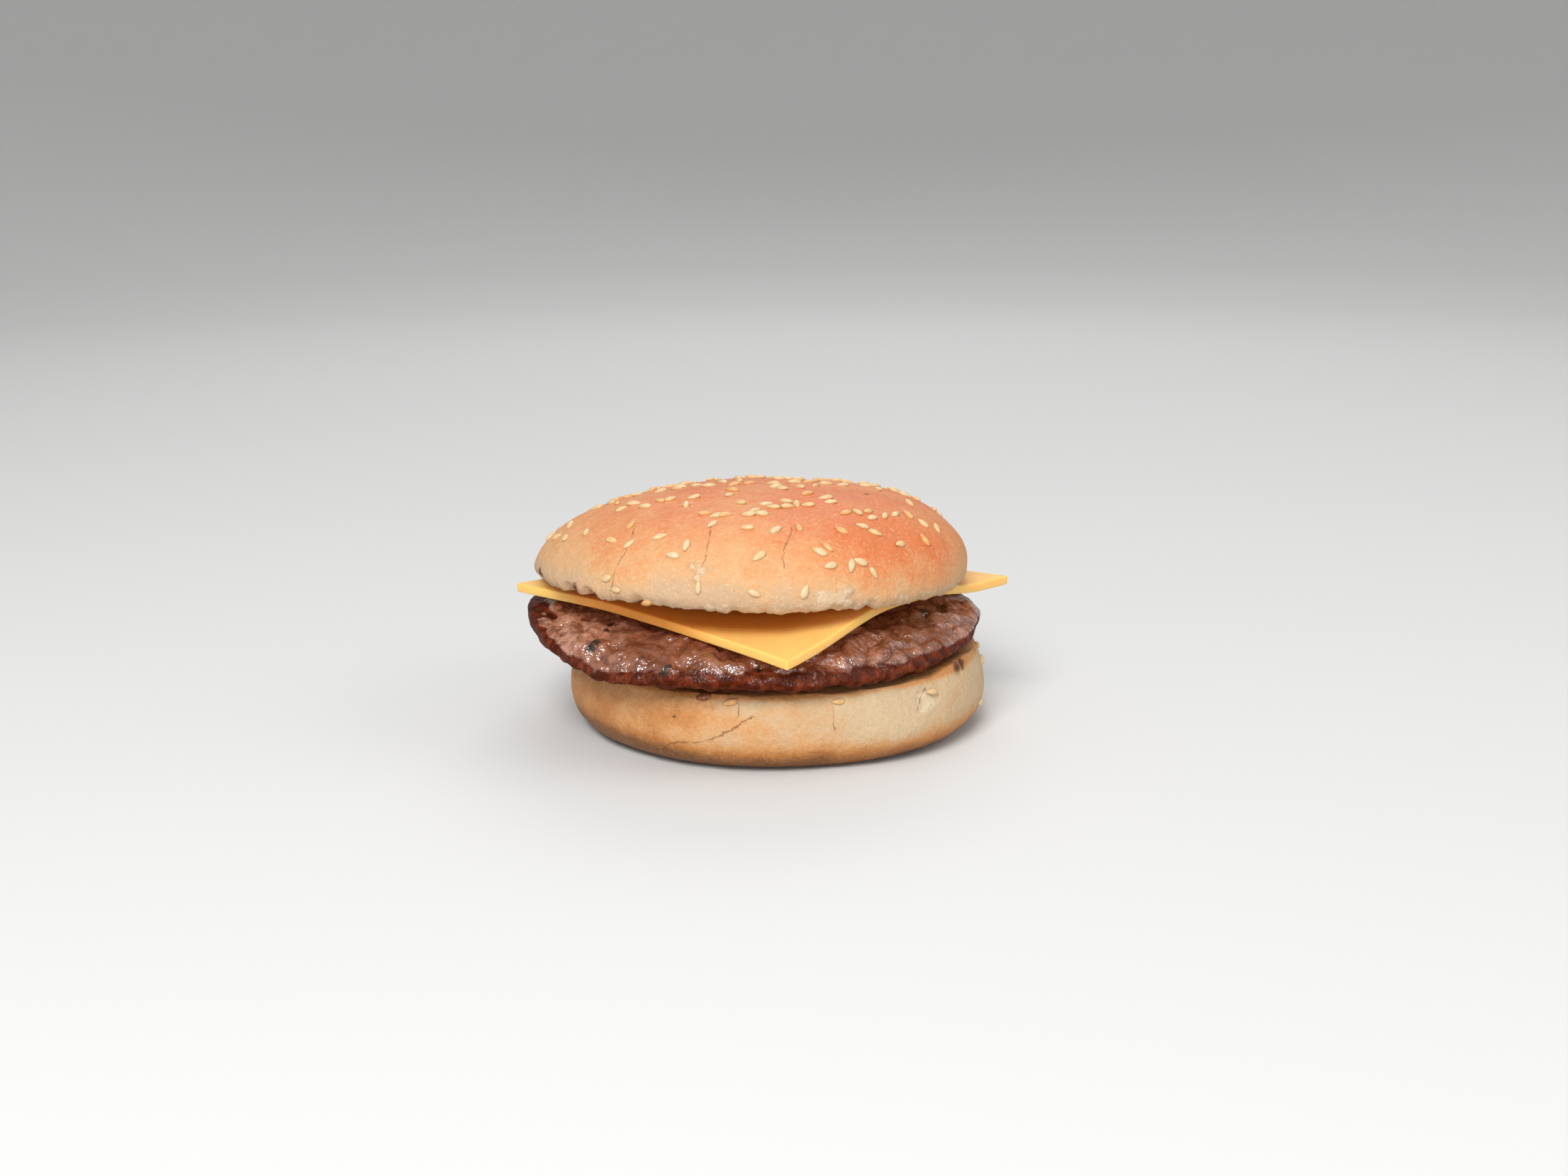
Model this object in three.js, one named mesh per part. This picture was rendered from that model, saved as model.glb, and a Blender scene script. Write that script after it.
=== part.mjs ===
// A cheeseburger: a seeded bun cut in two, a beef patty and one slice of cheese, stacked.
// Millimetres, +Z up, +X to the right and +Y away from the viewer. The origin is the middle of the
// flat underside of the bun's lower half. Round pieces are turned outlines that are then made uneven,
// and the cheese is a square slab that bends over the patty's edge. Bearings are in degrees, from +X
// towards +Y, so that the viewer is at -90.

import * as THREE from "three";

// Driving dimensions of the bun's lower half, the heel
const HEEL_RADIUS = 47.4; // at its widest
const HEEL_FOOT_RADIUS = 39; // of the flat underside
const HEEL_HEIGHT = 17.2;
const HEEL_BELLY_HEIGHT = 9; // where it is widest
const HEEL_TUCK = 4.5; // how far the wall would turn in on its way to the cut
const HEEL_UNEVENNESS = 0.8;

// Driving dimensions of the patty
const PATTY_RADIUS = 51;
const PATTY_CENTRE = { x: -5.3, y: 0 };
const PATTY_BOTTOM = HEEL_HEIGHT + 0.4;
const PATTY_TOP = 28.7; // at its middle
const PATTY_BACK_SLOPE = 0.045; // how fast its top falls behind the middle
const PATTY_RIM_HEIGHT = 20.2; // where the top and bottom faces meet, before the lifts below
const PATTY_TOP_FULLNESS = 4.5; // a higher power keeps the face flat nearer to the rim
const PATTY_BOTTOM_FULLNESS = 8;
const PATTY_UNEVENNESS = 0.7;
const PATTY_RIM_LIFTS = [
  { bearing: 182, width: 37, height: 7 }, // the left edge curls up over the bun
  { bearing: 226, width: 18, height: -2 }, // and sags beside that
  { bearing: 258, width: 20, height: 0.9 }, // the front stands a little off the bun
  { bearing: 0, width: 29, height: 3.4 }, // the right edge is a thick wall
];

// Driving dimensions of the cheese
const CHEESE_SIDE = 79.6;
const CHEESE_THICKNESS = 2;
const CHEESE_CENTRE = { x: -2.6, y: 0 };
const CHEESE_TURN = 4.5; // degrees from a corner pointing straight at the viewer
const CHEESE_HEIGHT = 31.6; // of its middle plane
const CHEESE_BENDS = {
  front: { start: 18, droop: 4.4, power: 1.35 },
  right: { start: -CHEESE_SIDE / Math.SQRT2, droop: 1.7, power: 1 },
  back: { start: 0, droop: 4, power: 1.2 },
};
const CHEESE_HUMP = { forward: 31, right: 25, width: 15, height: 3.1 }; // where it lifts off the patty

// Driving dimensions of the bun's upper half, the crown
const CROWN_RADIUS = 48.9;
const CROWN_HEIGHT = 21.2; // from the cut to the top
const CROWN_BELLY_HEIGHT = 3; // from the cut to where it is widest
const CROWN_TUCK = 4; // how far the wall would turn in on its way to the cut
const CROWN_DOME_FULLNESS = 2.2; // 2 is an ellipse, and more is boxier
const CROWN_CENTRE = { x: -5.9, y: 0 };
const CROWN_CUT_HEIGHT = 32.95; // of the cut's middle
const CROWN_TILT_BACK = 3.8; // degrees, so that the front edge stands off the cheese
const CROWN_TILT_RIGHT = 1.3; // degrees
const CROWN_LEAN = 6.5; // how far its top stands to the right of its middle
const CROWN_SLACK_SHOULDER = { bearing: 188, width: 45, depth: 1.6 }; // the left shoulder is less full
const CROWN_UNEVENNESS = 0.8;
const CROWN_RAGGED_EDGE = 0.4; // of the torn crust along the cut
const CROWN_RIM_LIFTS = [
  { bearing: -93, width: 28, height: -1 },
  { bearing: -52, width: 24, height: 0.9 },
];

// How finely the solids are faceted
const SEGMENTS = 64; // round each turned piece
const WALL_STEPS = 4; // along each curved stretch of a bun's wall
const DOME_STEPS = 11;
const PATTY_STEPS = 9; // from the middle of a face to the rim
const CHEESE_STEPS = 20; // along each side

const CUT_ANGLE = Math.PI / 3; // how far round its tuck a bun's wall gets before the cut
const WAVES = { first: 2, last: 7 }; // round a piece's outline
const TORN_WAVES = { first: 6, last: 18 }; // along a torn edge
const SEEDS = { heel: 0.7, patty: 2.1, crown: 3.4, tear: 5.3 }; // vary the unevenness
const OUTLINE_POWER = 4; // how quickly the unevenness fades towards a piece's middle
const RIM_POWER = 8; // how quickly a rim's own shape does

// A repeatable unevenness round a piece, between about -1 and 1, which a seed varies.
function ripple(bearing, seed, { first, last } = WAVES) {
  let sum = 0;
  for (let wave = first; wave <= last; wave++) {
    sum += Math.sin(wave * bearing + seed * wave * wave) / wave;
  }
  return sum;
}

// A smooth swelling round one bearing, 1 in its middle.
function swelling(bearing, middleDegrees, widthDegrees) {
  const offset = bearing - THREE.MathUtils.degToRad(middleDegrees);
  const wrapped = Math.atan2(Math.sin(offset), Math.cos(offset));
  const share = wrapped / THREE.MathUtils.degToRad(widthDegrees);
  return Math.exp(-share * share);
}

// The sum of the lifts at a bearing.
function lifted(bearing, lifts) {
  return lifts.reduce((sum, lift) => sum + lift.height * swelling(bearing, lift.bearing, lift.width), 0);
}

// Turns an outline of (radius, height) points about +Z, then moves each of its points by place, which
// takes and returns { radius, bearing, height } and may add a shift along +X.
function turned(outline, place) {
  const geometry = new THREE.LatheGeometry(outline, SEGMENTS).rotateX(Math.PI / 2);
  const points = geometry.getAttribute("position");
  for (let i = 0; i < points.count; i++) {
    const [x, y, z] = [points.getX(i), points.getY(i), points.getZ(i)];
    const moved = place({ radius: Math.hypot(x, y), bearing: Math.atan2(y, x), height: z });
    const across = moved.radius * Math.cos(moved.bearing) + (moved.shift ?? 0);
    points.setXYZ(i, across, moved.radius * Math.sin(moved.bearing), moved.height);
  }
  geometry.computeVertexNormals();
  return geometry;
}

function named(name, geometry, color, roughness) {
  const material = new THREE.MeshStandardMaterial({ color, roughness, metalness: 0 });
  const mesh = new THREE.Mesh(geometry, material);
  mesh.name = name;
  return mesh;
}

// The heel: a flat foot, a round lower edge, a belly and a wall that turns in to the cut face.
function bunHeel() {
  const lowerReach = HEEL_RADIUS - HEEL_FOOT_RADIUS;
  const upperReach = (HEEL_HEIGHT - HEEL_BELLY_HEIGHT) / Math.sin(CUT_ANGLE);
  const wall = HEEL_RADIUS - HEEL_TUCK;
  const outline = new THREE.Path()
    .moveTo(0, 0)
    .lineTo(HEEL_FOOT_RADIUS, 0)
    .absellipse(HEEL_FOOT_RADIUS, HEEL_BELLY_HEIGHT, lowerReach, HEEL_BELLY_HEIGHT, -Math.PI / 2, 0, false)
    .absellipse(wall, HEEL_BELLY_HEIGHT, HEEL_TUCK, upperReach, 0, CUT_ANGLE, false)
    .lineTo(0, HEEL_HEIGHT)
    .getPoints(WALL_STEPS);
  const geometry = turned(outline, ({ radius, bearing, height }) => {
    const outward = radius / HEEL_RADIUS;
    const swell = HEEL_UNEVENNESS * outward ** OUTLINE_POWER * ripple(bearing, SEEDS.heel);
    return { radius: radius + swell, bearing, height };
  });
  return named("bun_heel", geometry, 0xe0b98c, 0.8);
}

// The patty: a disc whose two faces meet at a rim of uneven height and reach.
function beefPatty() {
  const outline = [];
  for (let step = -PATTY_STEPS; step <= PATTY_STEPS; step++) {
    const turn = (step / PATTY_STEPS) * (Math.PI / 2);
    const fullness = step < 0 ? PATTY_BOTTOM_FULLNESS : PATTY_TOP_FULLNESS;
    const outward = step % PATTY_STEPS === 0 && step !== 0 ? 0 : Math.cos(turn) ** (2 / fullness);
    outline.push(new THREE.Vector2(outward, Math.sin(turn)));
  }
  const geometry = turned(outline, ({ radius: outward, bearing, height: share }) => {
    const reach = PATTY_RADIUS + PATTY_UNEVENNESS * ripple(bearing, SEEDS.patty);
    const radius = outward * reach;
    const rim = PATTY_RIM_HEIGHT + lifted(bearing, PATTY_RIM_LIFTS);
    const top = PATTY_TOP - PATTY_BACK_SLOPE * Math.max(0, radius * Math.sin(bearing));
    const face = share < 0 ? rim - PATTY_BOTTOM : top - rim;
    return { radius, bearing, height: rim + share * face };
  });
  const mesh = named("beef_patty", geometry, 0x6e3a26, 0.4);
  mesh.position.set(PATTY_CENTRE.x, PATTY_CENTRE.y, 0);
  return mesh;
}

// How far a corner has bent down at this distance from the slice's middle.
function bentDown({ start, droop, power }, distance) {
  const share = Math.max(0, distance - start) / (CHEESE_SIDE / Math.SQRT2 - start);
  return droop * share ** power;
}

// The cheese: a square slice with a corner at the viewer, whose corners bend down off the patty.
function cheeseSlice() {
  const geometry = new THREE.BoxGeometry(
    CHEESE_SIDE, CHEESE_SIDE, CHEESE_THICKNESS, CHEESE_STEPS, CHEESE_STEPS, 1,
  ).rotateZ(Math.PI / 4);
  const points = geometry.getAttribute("position");
  for (let i = 0; i < points.count; i++) {
    const [right, back, height] = [points.getX(i), points.getY(i), points.getZ(i)];
    const fromHump = Math.hypot(right - CHEESE_HUMP.right, back + CHEESE_HUMP.forward) / CHEESE_HUMP.width;
    const bend = bentDown(CHEESE_BENDS.front, -back) + bentDown(CHEESE_BENDS.back, back)
      + bentDown(CHEESE_BENDS.right, right);
    points.setZ(i, height - bend + CHEESE_HUMP.height * Math.exp(-fromHump * fromHump));
  }
  geometry.computeVertexNormals();
  const mesh = named("cheese_slice", geometry, 0xf8b040, 0.45);
  mesh.position.set(CHEESE_CENTRE.x, CHEESE_CENTRE.y, CHEESE_HEIGHT);
  mesh.rotation.z = THREE.MathUtils.degToRad(CHEESE_TURN);
  return mesh;
}

// The crown: a cut face with a torn edge, a short wall and a dome that leans to one side.
function bunCrown() {
  const upperReach = CROWN_BELLY_HEIGHT / Math.sin(CUT_ANGLE);
  const wall = CROWN_RADIUS - CROWN_TUCK;
  const outline = new THREE.Path()
    .moveTo(0, 0)
    .lineTo(wall + CROWN_TUCK * Math.cos(CUT_ANGLE), 0)
    .absellipse(wall, CROWN_BELLY_HEIGHT, CROWN_TUCK, upperReach, -CUT_ANGLE, 0, false)
    .getPoints(WALL_STEPS);
  for (let step = 1; step <= DOME_STEPS; step++) {
    const turn = (step / DOME_STEPS) * (Math.PI / 2);
    const outward = step === DOME_STEPS ? 0 : Math.cos(turn) ** (2 / CROWN_DOME_FULLNESS);
    const rise = Math.sin(turn) ** (2 / CROWN_DOME_FULLNESS);
    const domeHeight = CROWN_HEIGHT - CROWN_BELLY_HEIGHT;
    outline.push(new THREE.Vector2(CROWN_RADIUS * outward, CROWN_BELLY_HEIGHT + rise * domeHeight));
  }
  const geometry = turned(outline, ({ radius, bearing, height }) => {
    const outward = radius / CROWN_RADIUS;
    const rise = height / CROWN_HEIGHT;
    const nearRim = outward ** RIM_POWER * (1 - rise) ** OUTLINE_POWER;
    const torn = CROWN_RAGGED_EDGE * ripple(bearing, SEEDS.tear, TORN_WAVES);
    const swell = CROWN_UNEVENNESS * outward ** OUTLINE_POWER * ripple(bearing, SEEDS.crown);
    const { bearing: slackest, width, depth } = CROWN_SLACK_SHOULDER;
    const slack = depth * swelling(bearing, slackest, width) * Math.sin(rise * Math.PI);
    return {
      radius: radius + swell - outward * slack,
      bearing,
      height: height + nearRim * (torn + lifted(bearing, CROWN_RIM_LIFTS)),
      shift: CROWN_LEAN * rise * rise,
    };
  });
  const mesh = named("bun_crown", geometry, 0xe0924e, 0.65);
  mesh.position.set(CROWN_CENTRE.x, CROWN_CENTRE.y, CROWN_CUT_HEIGHT);
  mesh.rotation.set(
    -THREE.MathUtils.degToRad(CROWN_TILT_BACK),
    THREE.MathUtils.degToRad(CROWN_TILT_RIGHT),
    0,
  );
  return mesh;
}

const burger = new THREE.Group();
burger.add(bunHeel(), beefPatty(), cheeseSlice(), bunCrown());

export default burger;
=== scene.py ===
"""A cheeseburger: a seeded bun in two halves, a seared beef patty and a slice of cheese.

Sizes are in millimetres until a piece is put in place. +Z is up, +X is right and -Y is towards
the viewer. Bearings are in degrees from +X towards +Y, so that the viewer is at -90. Pixels are
those of the photograph, which is 2212 x 1659.
"""

import logging
import math
import random
from dataclasses import dataclass, field
from enum import Enum
from functools import lru_cache
from typing import Callable, Optional, Sequence, Union

import bmesh
import bpy
from mathutils import Matrix, Vector, noise
from mathutils.bvhtree import BVHTree


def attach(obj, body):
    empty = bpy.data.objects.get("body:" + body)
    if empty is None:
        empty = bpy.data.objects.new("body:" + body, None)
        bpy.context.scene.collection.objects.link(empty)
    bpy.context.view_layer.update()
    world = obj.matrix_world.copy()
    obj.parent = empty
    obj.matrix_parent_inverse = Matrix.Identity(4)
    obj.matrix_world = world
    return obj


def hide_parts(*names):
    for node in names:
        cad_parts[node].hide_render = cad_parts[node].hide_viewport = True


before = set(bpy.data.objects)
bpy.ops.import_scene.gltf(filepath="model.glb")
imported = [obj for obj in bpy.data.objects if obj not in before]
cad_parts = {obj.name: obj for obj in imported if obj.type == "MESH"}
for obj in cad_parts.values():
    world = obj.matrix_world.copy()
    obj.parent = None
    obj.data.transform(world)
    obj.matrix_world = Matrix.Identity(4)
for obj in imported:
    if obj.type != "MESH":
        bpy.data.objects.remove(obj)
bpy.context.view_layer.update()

MM = 0.001
BODY = "root"
QUARTER = math.pi / 2.0
ORIGIN = Vector((0.0, 0.0, 0.0))
UP = Vector((0.0, 0.0, 1.0))
TURN_SLICES = 20
MERGE_DISTANCE = 1e-4
SEARCH_PIXELS = 16
SEARCH_WAYS = 8

log = logging.getLogger("cheeseburger")

BMesh = bmesh.types.BMesh
BMVert = bmesh.types.BMVert
Object = bpy.types.Object
Material = bpy.types.Material
Socket = bpy.types.NodeSocket
Pair = tuple[float, float]
Place = tuple[float, float, float]
Colour = tuple[float, float, float]
Feed = Union[Socket, float, Colour]
Stops = tuple[tuple[float, Colour], ...]
Hit = tuple[Vector, Vector]


class Slot(Enum):
    """The record's material slots."""

    BREAD = "bread"
    MEAT = "meat"
    CHEESE = "cheese"
    CRUST = "crust"
    SEEDS = "seeds"


class Mark(Enum):
    """The numbers that a mesh carries on its points for its finish to read."""

    BROWNING = "browning"
    SCORCH = "scorch"
    CRUMB = "crumb"
    CRACK = "crack"
    CRACK_REACH = "crack_reach"
    SEAR = "sear"
    DRY = "dry"
    # Paler meat on the patty's face, partly its own tone and partly a painted highlight, with painted shade
    # in the creases.
    PALE_AND_HIGHLIT = "pale"
    # Share of the deeper orange painted on the cheese under the bun: painted shade and bounced light.
    UNDER_BUN_SHADE = "under_bun_shade"
    CHAR = "char"
    TOAST = "toast"


def smooth_step(low: float, high: float, value: float) -> float:
    """Rise smoothly from 0 to 1 as a value goes from low to high, which may be the lower one."""
    share = min(1.0, max(0.0, (value - low) / (high - low)))
    return share * share * (3.0 - 2.0 * share)


@lru_cache(maxsize=None)
def waves(bearing: float, seed: float, first: int, last: int) -> float:
    """Return ripple's sum, kept for the next point at the same bearing."""
    return sum(math.sin(wave * bearing + seed * wave * wave) / wave for wave in range(first, last + 1))


def ripple(bearing: float, seed: float, first: int = 2, last: int = 7) -> float:
    """Sum the waves that make a turned piece uneven, from the fewest to the most in a turn."""
    return waves(round(bearing, 4), seed, first, last)


def polar(point: Vector, centre: Sequence[float] = (0.0, 0.0)) -> Pair:
    """Return a point's distance and its bearing in radians, from an upright axis."""
    x, y = point.x - centre[0], point.y - centre[1]
    return math.hypot(x, y), math.atan2(y, x)


@dataclass(frozen=True)
class Swelling:
    """A smooth bump round one bearing of a turned piece.

    Attributes:
        bearing: Its middle.
        width: How far it spreads to either side, in degrees.
        height: Its height in the middle.
    """

    bearing: float
    width: float
    height: float

    def at(self, bearing: float) -> float:
        """Return the bump's height at a bearing in radians."""
        offset = math.remainder(bearing - math.radians(self.bearing), math.tau)
        return self.height * math.exp(-((offset / math.radians(self.width)) ** 2))


@dataclass(frozen=True)
class Lumps:
    """Smooth random lumps in space.

    Attributes:
        size: Of a lump.
        height: How far they rise and fall.
        seed: Varies them.
    """

    size: float
    height: float
    seed: float

    def at(self, point: Vector) -> float:
        """Return the lumps' height at a point."""
        shift = Vector((self.seed, self.seed * 1.7, self.seed * 2.3))
        return self.height * noise.noise(point / self.size + shift)


def total(shapes: Sequence[Union[Swelling, Lumps]], at: Union[float, Vector]) -> float:
    """Add up the heights of some bumps or lumps at a bearing or a point."""
    return sum(shape.at(at) for shape in shapes)


FLAKE_EDGE = Lumps(1.6, 0.3, 6.0)


def add_object(name: str, data: bpy.types.ID) -> Object:
    """Add an object to the scene.

    Args:
        name: Its name.
        data: Its mesh, lamp or camera.

    Returns:
        The object.
    """
    thing = bpy.data.objects.new(name, data)
    bpy.context.scene.collection.objects.link(thing)
    return thing


@dataclass(frozen=True)
class Viewpoint:
    """The photograph's camera, in the part's frame.

    Attributes:
        width: The photograph's width in pixels.
        height: Its height in pixels.
        focal: The lens's focal length in pixels.
        place: Where the camera stands.
        pitch: How far it looks down, in degrees.
        yaw: How far it turns right, in degrees.
        roll: How far it leans, in degrees.
        sensor: The width of its sensor.
        clip: The nearest and the farthest that it sees, in metres.
    """

    width: float = 2212.0
    height: float = 1659.0
    focal: float = 2759.0
    place: Place = (-1.6, -436.0, 130.1)
    pitch: float = 12.97
    yaw: float = 0.44
    roll: float = -0.61
    sensor: float = 36.0
    clip: Pair = (0.01, 50.0)

    def axes(self) -> tuple[Vector, Vector, Vector]:
        """Work out the camera's own directions.

        Returns:
            Its right, its up and the way that it looks.
        """
        pitch, yaw, roll = (math.radians(angle) for angle in (self.pitch, self.yaw, self.roll))
        level = Vector((math.cos(yaw), -math.sin(yaw), 0.0))
        ahead = Vector((math.sin(yaw), math.cos(yaw), 0.0))
        look = ahead * math.cos(pitch) - UP * math.sin(pitch)
        upright = level.cross(look)
        right = level * math.cos(roll) + upright * math.sin(roll)
        return right, upright * math.cos(roll) - level * math.sin(roll), look

    def ray(self, across: float, down: float) -> Hit:
        """Find what a pixel of the photograph looks along.

        Args:
            across: The pixel's column.
            down: The pixel's row.

        Returns:
            The ray's start and its direction.
        """
        right, up, look = self.axes()
        aside = (across - self.width / 2.0) / self.focal
        above = (self.height / 2.0 - down) / self.focal
        return Vector(self.place), (look + right * aside + up * above).normalized()

    def build(self) -> None:
        """Add the camera to the scene and make it the active one."""
        right, up, look = self.axes()
        data = bpy.data.cameras.new("photo_view")
        data.sensor_fit = "HORIZONTAL"
        data.sensor_width = self.sensor
        data.lens = self.sensor * self.focal / self.width
        data.clip_start, data.clip_end = self.clip
        camera = add_object("photo_view", data)
        turn = Matrix((right, up, -look)).transposed().to_4x4()
        camera.matrix_world = Matrix.Translation(Vector(self.place) * MM) @ turn
        bpy.context.scene.camera = camera


VIEW = Viewpoint()


class Sketch:
    """One finish's node tree, with short ways to add its nodes."""

    def __init__(self, name: str) -> None:
        """Start a material that has only its shader.

        Args:
            name: The material's name.
        """
        self.material = bpy.data.materials.new(name)
        self.material.use_nodes = True
        self.tree = self.material.node_tree
        self.shader = self.tree.nodes["Principled BSDF"]
        self.place = self.node("TexCoord", "Object", {})

    def node(
        self, kind: str, output: Union[int, str], feeds: dict[Union[int, str], Feed], **settings: str
    ) -> Socket:
        """Add a node.

        Args:
            kind: Its type, without the start that shader nodes share.
            output: Which of its outputs is wanted.
            feeds: What each of its inputs is joined or set to.
            settings: Its properties.

        Returns:
            The output.
        """
        node = self.tree.nodes.new("ShaderNode" + kind)
        for name, value in settings.items():
            setattr(node, name, value)
        for socket, value in feeds.items():
            self.feed(node.inputs[socket], value)
        return node.outputs[output]

    def feed(self, socket: Socket, value: Feed) -> None:
        """Join a socket to another, or set its value.

        Args:
            socket: The socket to feed.
            value: A socket to join it to, or a number or colour to set.
        """
        if isinstance(value, bpy.types.NodeSocket):
            self.tree.links.new(value, socket)
        elif isinstance(value, tuple):
            socket.default_value = (*value, 1.0) if len(socket.default_value) == 4 else value
        else:
            socket.default_value = value

    def set(self, **values: Feed) -> None:
        """Feed the shader's sockets, named with _ for each space."""
        for name, value in values.items():
            self.feed(self.shader.inputs[name.replace("_", " ")], value)

    def mark(self, mark: Mark) -> Socket:
        """Read a number that the mesh carries."""
        return self.node("Attribute", "Fac", {}, attribute_name=mark.value)

    def noise(self, size: float, detail: float = 2.0, rough: float = 0.5) -> Socket:
        """Add a cloudy pattern of 0 to 1 with lumps of this size and so many finer layers."""
        feeds = {"Vector": self.place, "Scale": 1.0 / (size * MM), "Detail": detail, "Roughness": rough}
        return self.node("TexNoise", "Fac", feeds)

    def cells(self, size: float) -> Socket:
        """Add a pattern of cells of this size, as the distance from each cell's middle."""
        feeds = {"Vector": self.place, "Scale": 1.0 / (size * MM)}
        return self.node("TexVoronoi", "Distance", feeds, feature="F1")

    def work(self, operation: str, first: Feed, second: Feed = 0.0) -> Socket:
        """Work out a sum of two values."""
        return self.node("Math", "Value", {0: first, 1: second}, operation=operation)

    def plus(self, first: Feed, second: Feed) -> Socket:
        """Add two values."""
        return self.work("ADD", first, second)

    def times(self, first: Feed, second: Feed) -> Socket:
        """Multiply two values."""
        return self.work("MULTIPLY", first, second)

    def spread(self, pattern: Socket, amount: float) -> Socket:
        """Widen a pattern of 0 to 1 to this amount about zero."""
        feeds = {0: pattern, 1: amount, 2: -0.5 * amount}
        return self.node("Math", "Value", feeds, operation="MULTIPLY_ADD")

    def grade(self, value: Feed, low: float, high: float, start: float = 0.0, end: float = 1.0) -> Socket:
        """Map the values from low to high smoothly to those from start to end."""
        feeds = {0: value, 1: low, 2: high, 3: start, 4: end}
        return self.node("MapRange", "Result", feeds, interpolation_type="SMOOTHSTEP")

    def mix(self, share: Feed, first: Feed, second: Feed) -> Socket:
        """Mix two colours, with this share of the second."""
        return self.node("Mix", 2, {0: share, 6: first, 7: second}, data_type="RGBA")

    def ramp(self, value: Socket, stops: Stops) -> Socket:
        """Colour a value by a row of stops.

        Args:
            value: What is coloured, from 0 to 1.
            stops: Each stop's value and colour.

        Returns:
            The colour.
        """
        colour = self.node("ValToRGB", "Color", {"Fac": value})
        elements = colour.node.color_ramp.elements
        while len(elements) < len(stops):
            elements.new(1.0)
        for element, (position, shade) in zip(elements, stops):
            element.position = position
            element.color = (*shade, 1.0)
        return colour

    def relief(self, height: Socket, depth: float, below: Optional[Socket] = None) -> Socket:
        """Add a bump of this depth to the normal below, if there is one."""
        lower = {} if below is None else {"Normal": below}
        return self.node("Bump", "Normal", {"Height": height, "Distance": depth * MM, **lower})


@dataclass(frozen=True)
class BakedFinish:
    """Bread baked in a thin crust: pale where it is soft, browner where it caught the heat.

    Attributes:
        name: The material's name.
        stops: The crust's colours, from the palest to the brownest.
        crack: The bottom of a crack.
        crumb: The white bread inside.
        scorch: Burnt spots.
        blotch: How strongly the browning clouds.
        speckle: How strong its fine speckle is.
        skin: How deep the crust's fine grain is.
        crack_width: How wide a crack gapes.
    """

    name: str
    stops: Stops
    crack: Colour
    crumb: Colour = (0.76, 0.59, 0.40)
    scorch: Colour = (0.10, 0.026, 0.010)
    blotch: float = 0.75
    speckle: float = 1.0
    skin: float = 0.10
    crack_width: float = 0.055

    def crust(self, s: Sketch, brown: Socket) -> Socket:
        """Colour the whole crust, with its dust, pores and freckles.

        Args:
            s: The finish's nodes.
            brown: How brown the crust is.

        Returns:
            The colour.
        """
        dust = s.grade(s.noise(0.75, 4.0, 0.75), 0.52, 0.68, 0.0, 0.36 * self.speckle)
        colour = s.mix(dust, s.ramp(brown, self.stops), self.crumb)
        pores = s.grade(s.noise(0.5, 2.0, 0.6), 0.42, 0.28, 0.0, 0.42 * self.speckle)
        colour = s.mix(pores, colour, self.stops[-1][1])
        freckle = s.grade(s.cells(2.6), 0.05, 0.12, 0.5, 0.0)
        thinned = s.times(freckle, s.grade(s.noise(7.0, 1.0), 0.52, 0.66))
        return s.mix(thinned, colour, self.crack)

    def gape(self, s: Sketch) -> Socket:
        """Open the cracks.

        Args:
            s: The finish's nodes.

        Returns:
            1 in a crack and 0 beside it.
        """
        wander = s.spread(s.noise(1.6, 4.0, 0.75), 2.0)
        aside = s.work("ABSOLUTE", s.plus(s.mark(Mark.CRACK), wander))
        width = s.times(s.grade(s.noise(2.2, 2.0), 0.36, 0.64, 0.12, 1.5), self.crack_width)
        return s.times(s.grade(s.work("DIVIDE", aside, width), 1.8, 0.4), s.mark(Mark.CRACK_REACH))

    def material(self) -> Material:
        """Make the material.

        Returns:
            The material, which reads the marks of browning, scorch, crumb and cracks.
        """
        s = Sketch(self.name)
        clouds = s.spread(s.noise(4.8, 5.0, 0.66), self.blotch)
        speckle = s.spread(s.noise(0.9, 4.0, 0.75), 0.95 * self.speckle)
        brown = s.plus(s.mark(Mark.BROWNING), s.plus(clouds, speckle))
        ragged = s.spread(s.noise(1.5, 4.0, 0.75), 1.5)
        torn = s.grade(s.plus(s.mark(Mark.CRUMB), ragged), 0.44, 0.66)
        bread = s.mix(s.noise(1.2, 3.0, 0.7), self.crumb, self.stops[0][1])
        colour = s.mix(s.times(torn, 0.8), self.crust(s, brown), bread)
        burnt = s.plus(s.mark(Mark.SCORCH), s.spread(s.noise(1.0, 3.0, 0.7), 0.9))
        colour = s.mix(s.grade(burnt, 0.30, 0.80), colour, self.scorch)
        gape = self.gape(s)
        colour = s.mix(s.times(gape, 0.6), colour, self.crack)
        fine = s.relief(s.noise(0.7, 4.0, 0.7), self.skin * 1.6)
        coarse = s.relief(s.noise(2.2, 4.0, 0.6), self.skin * 4.0, fine)
        opened = s.relief(s.times(s.noise(0.9, 4.0, 0.75), torn), 0.16, coarse)
        split = s.relief(s.work("SUBTRACT", 1.0, gape), 0.3, opened)
        s.set(Base_Color=colour, Normal=split, Roughness=s.grade(brown, 0.1, 0.9, 0.75, 0.52))
        s.set(Specular_IOR_Level=0.35, Subsurface_Weight=0.05)
        s.set(Subsurface_Radius=(1.0, 0.5, 0.25), Subsurface_Scale=1.5 * MM)
        return s.material


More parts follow.
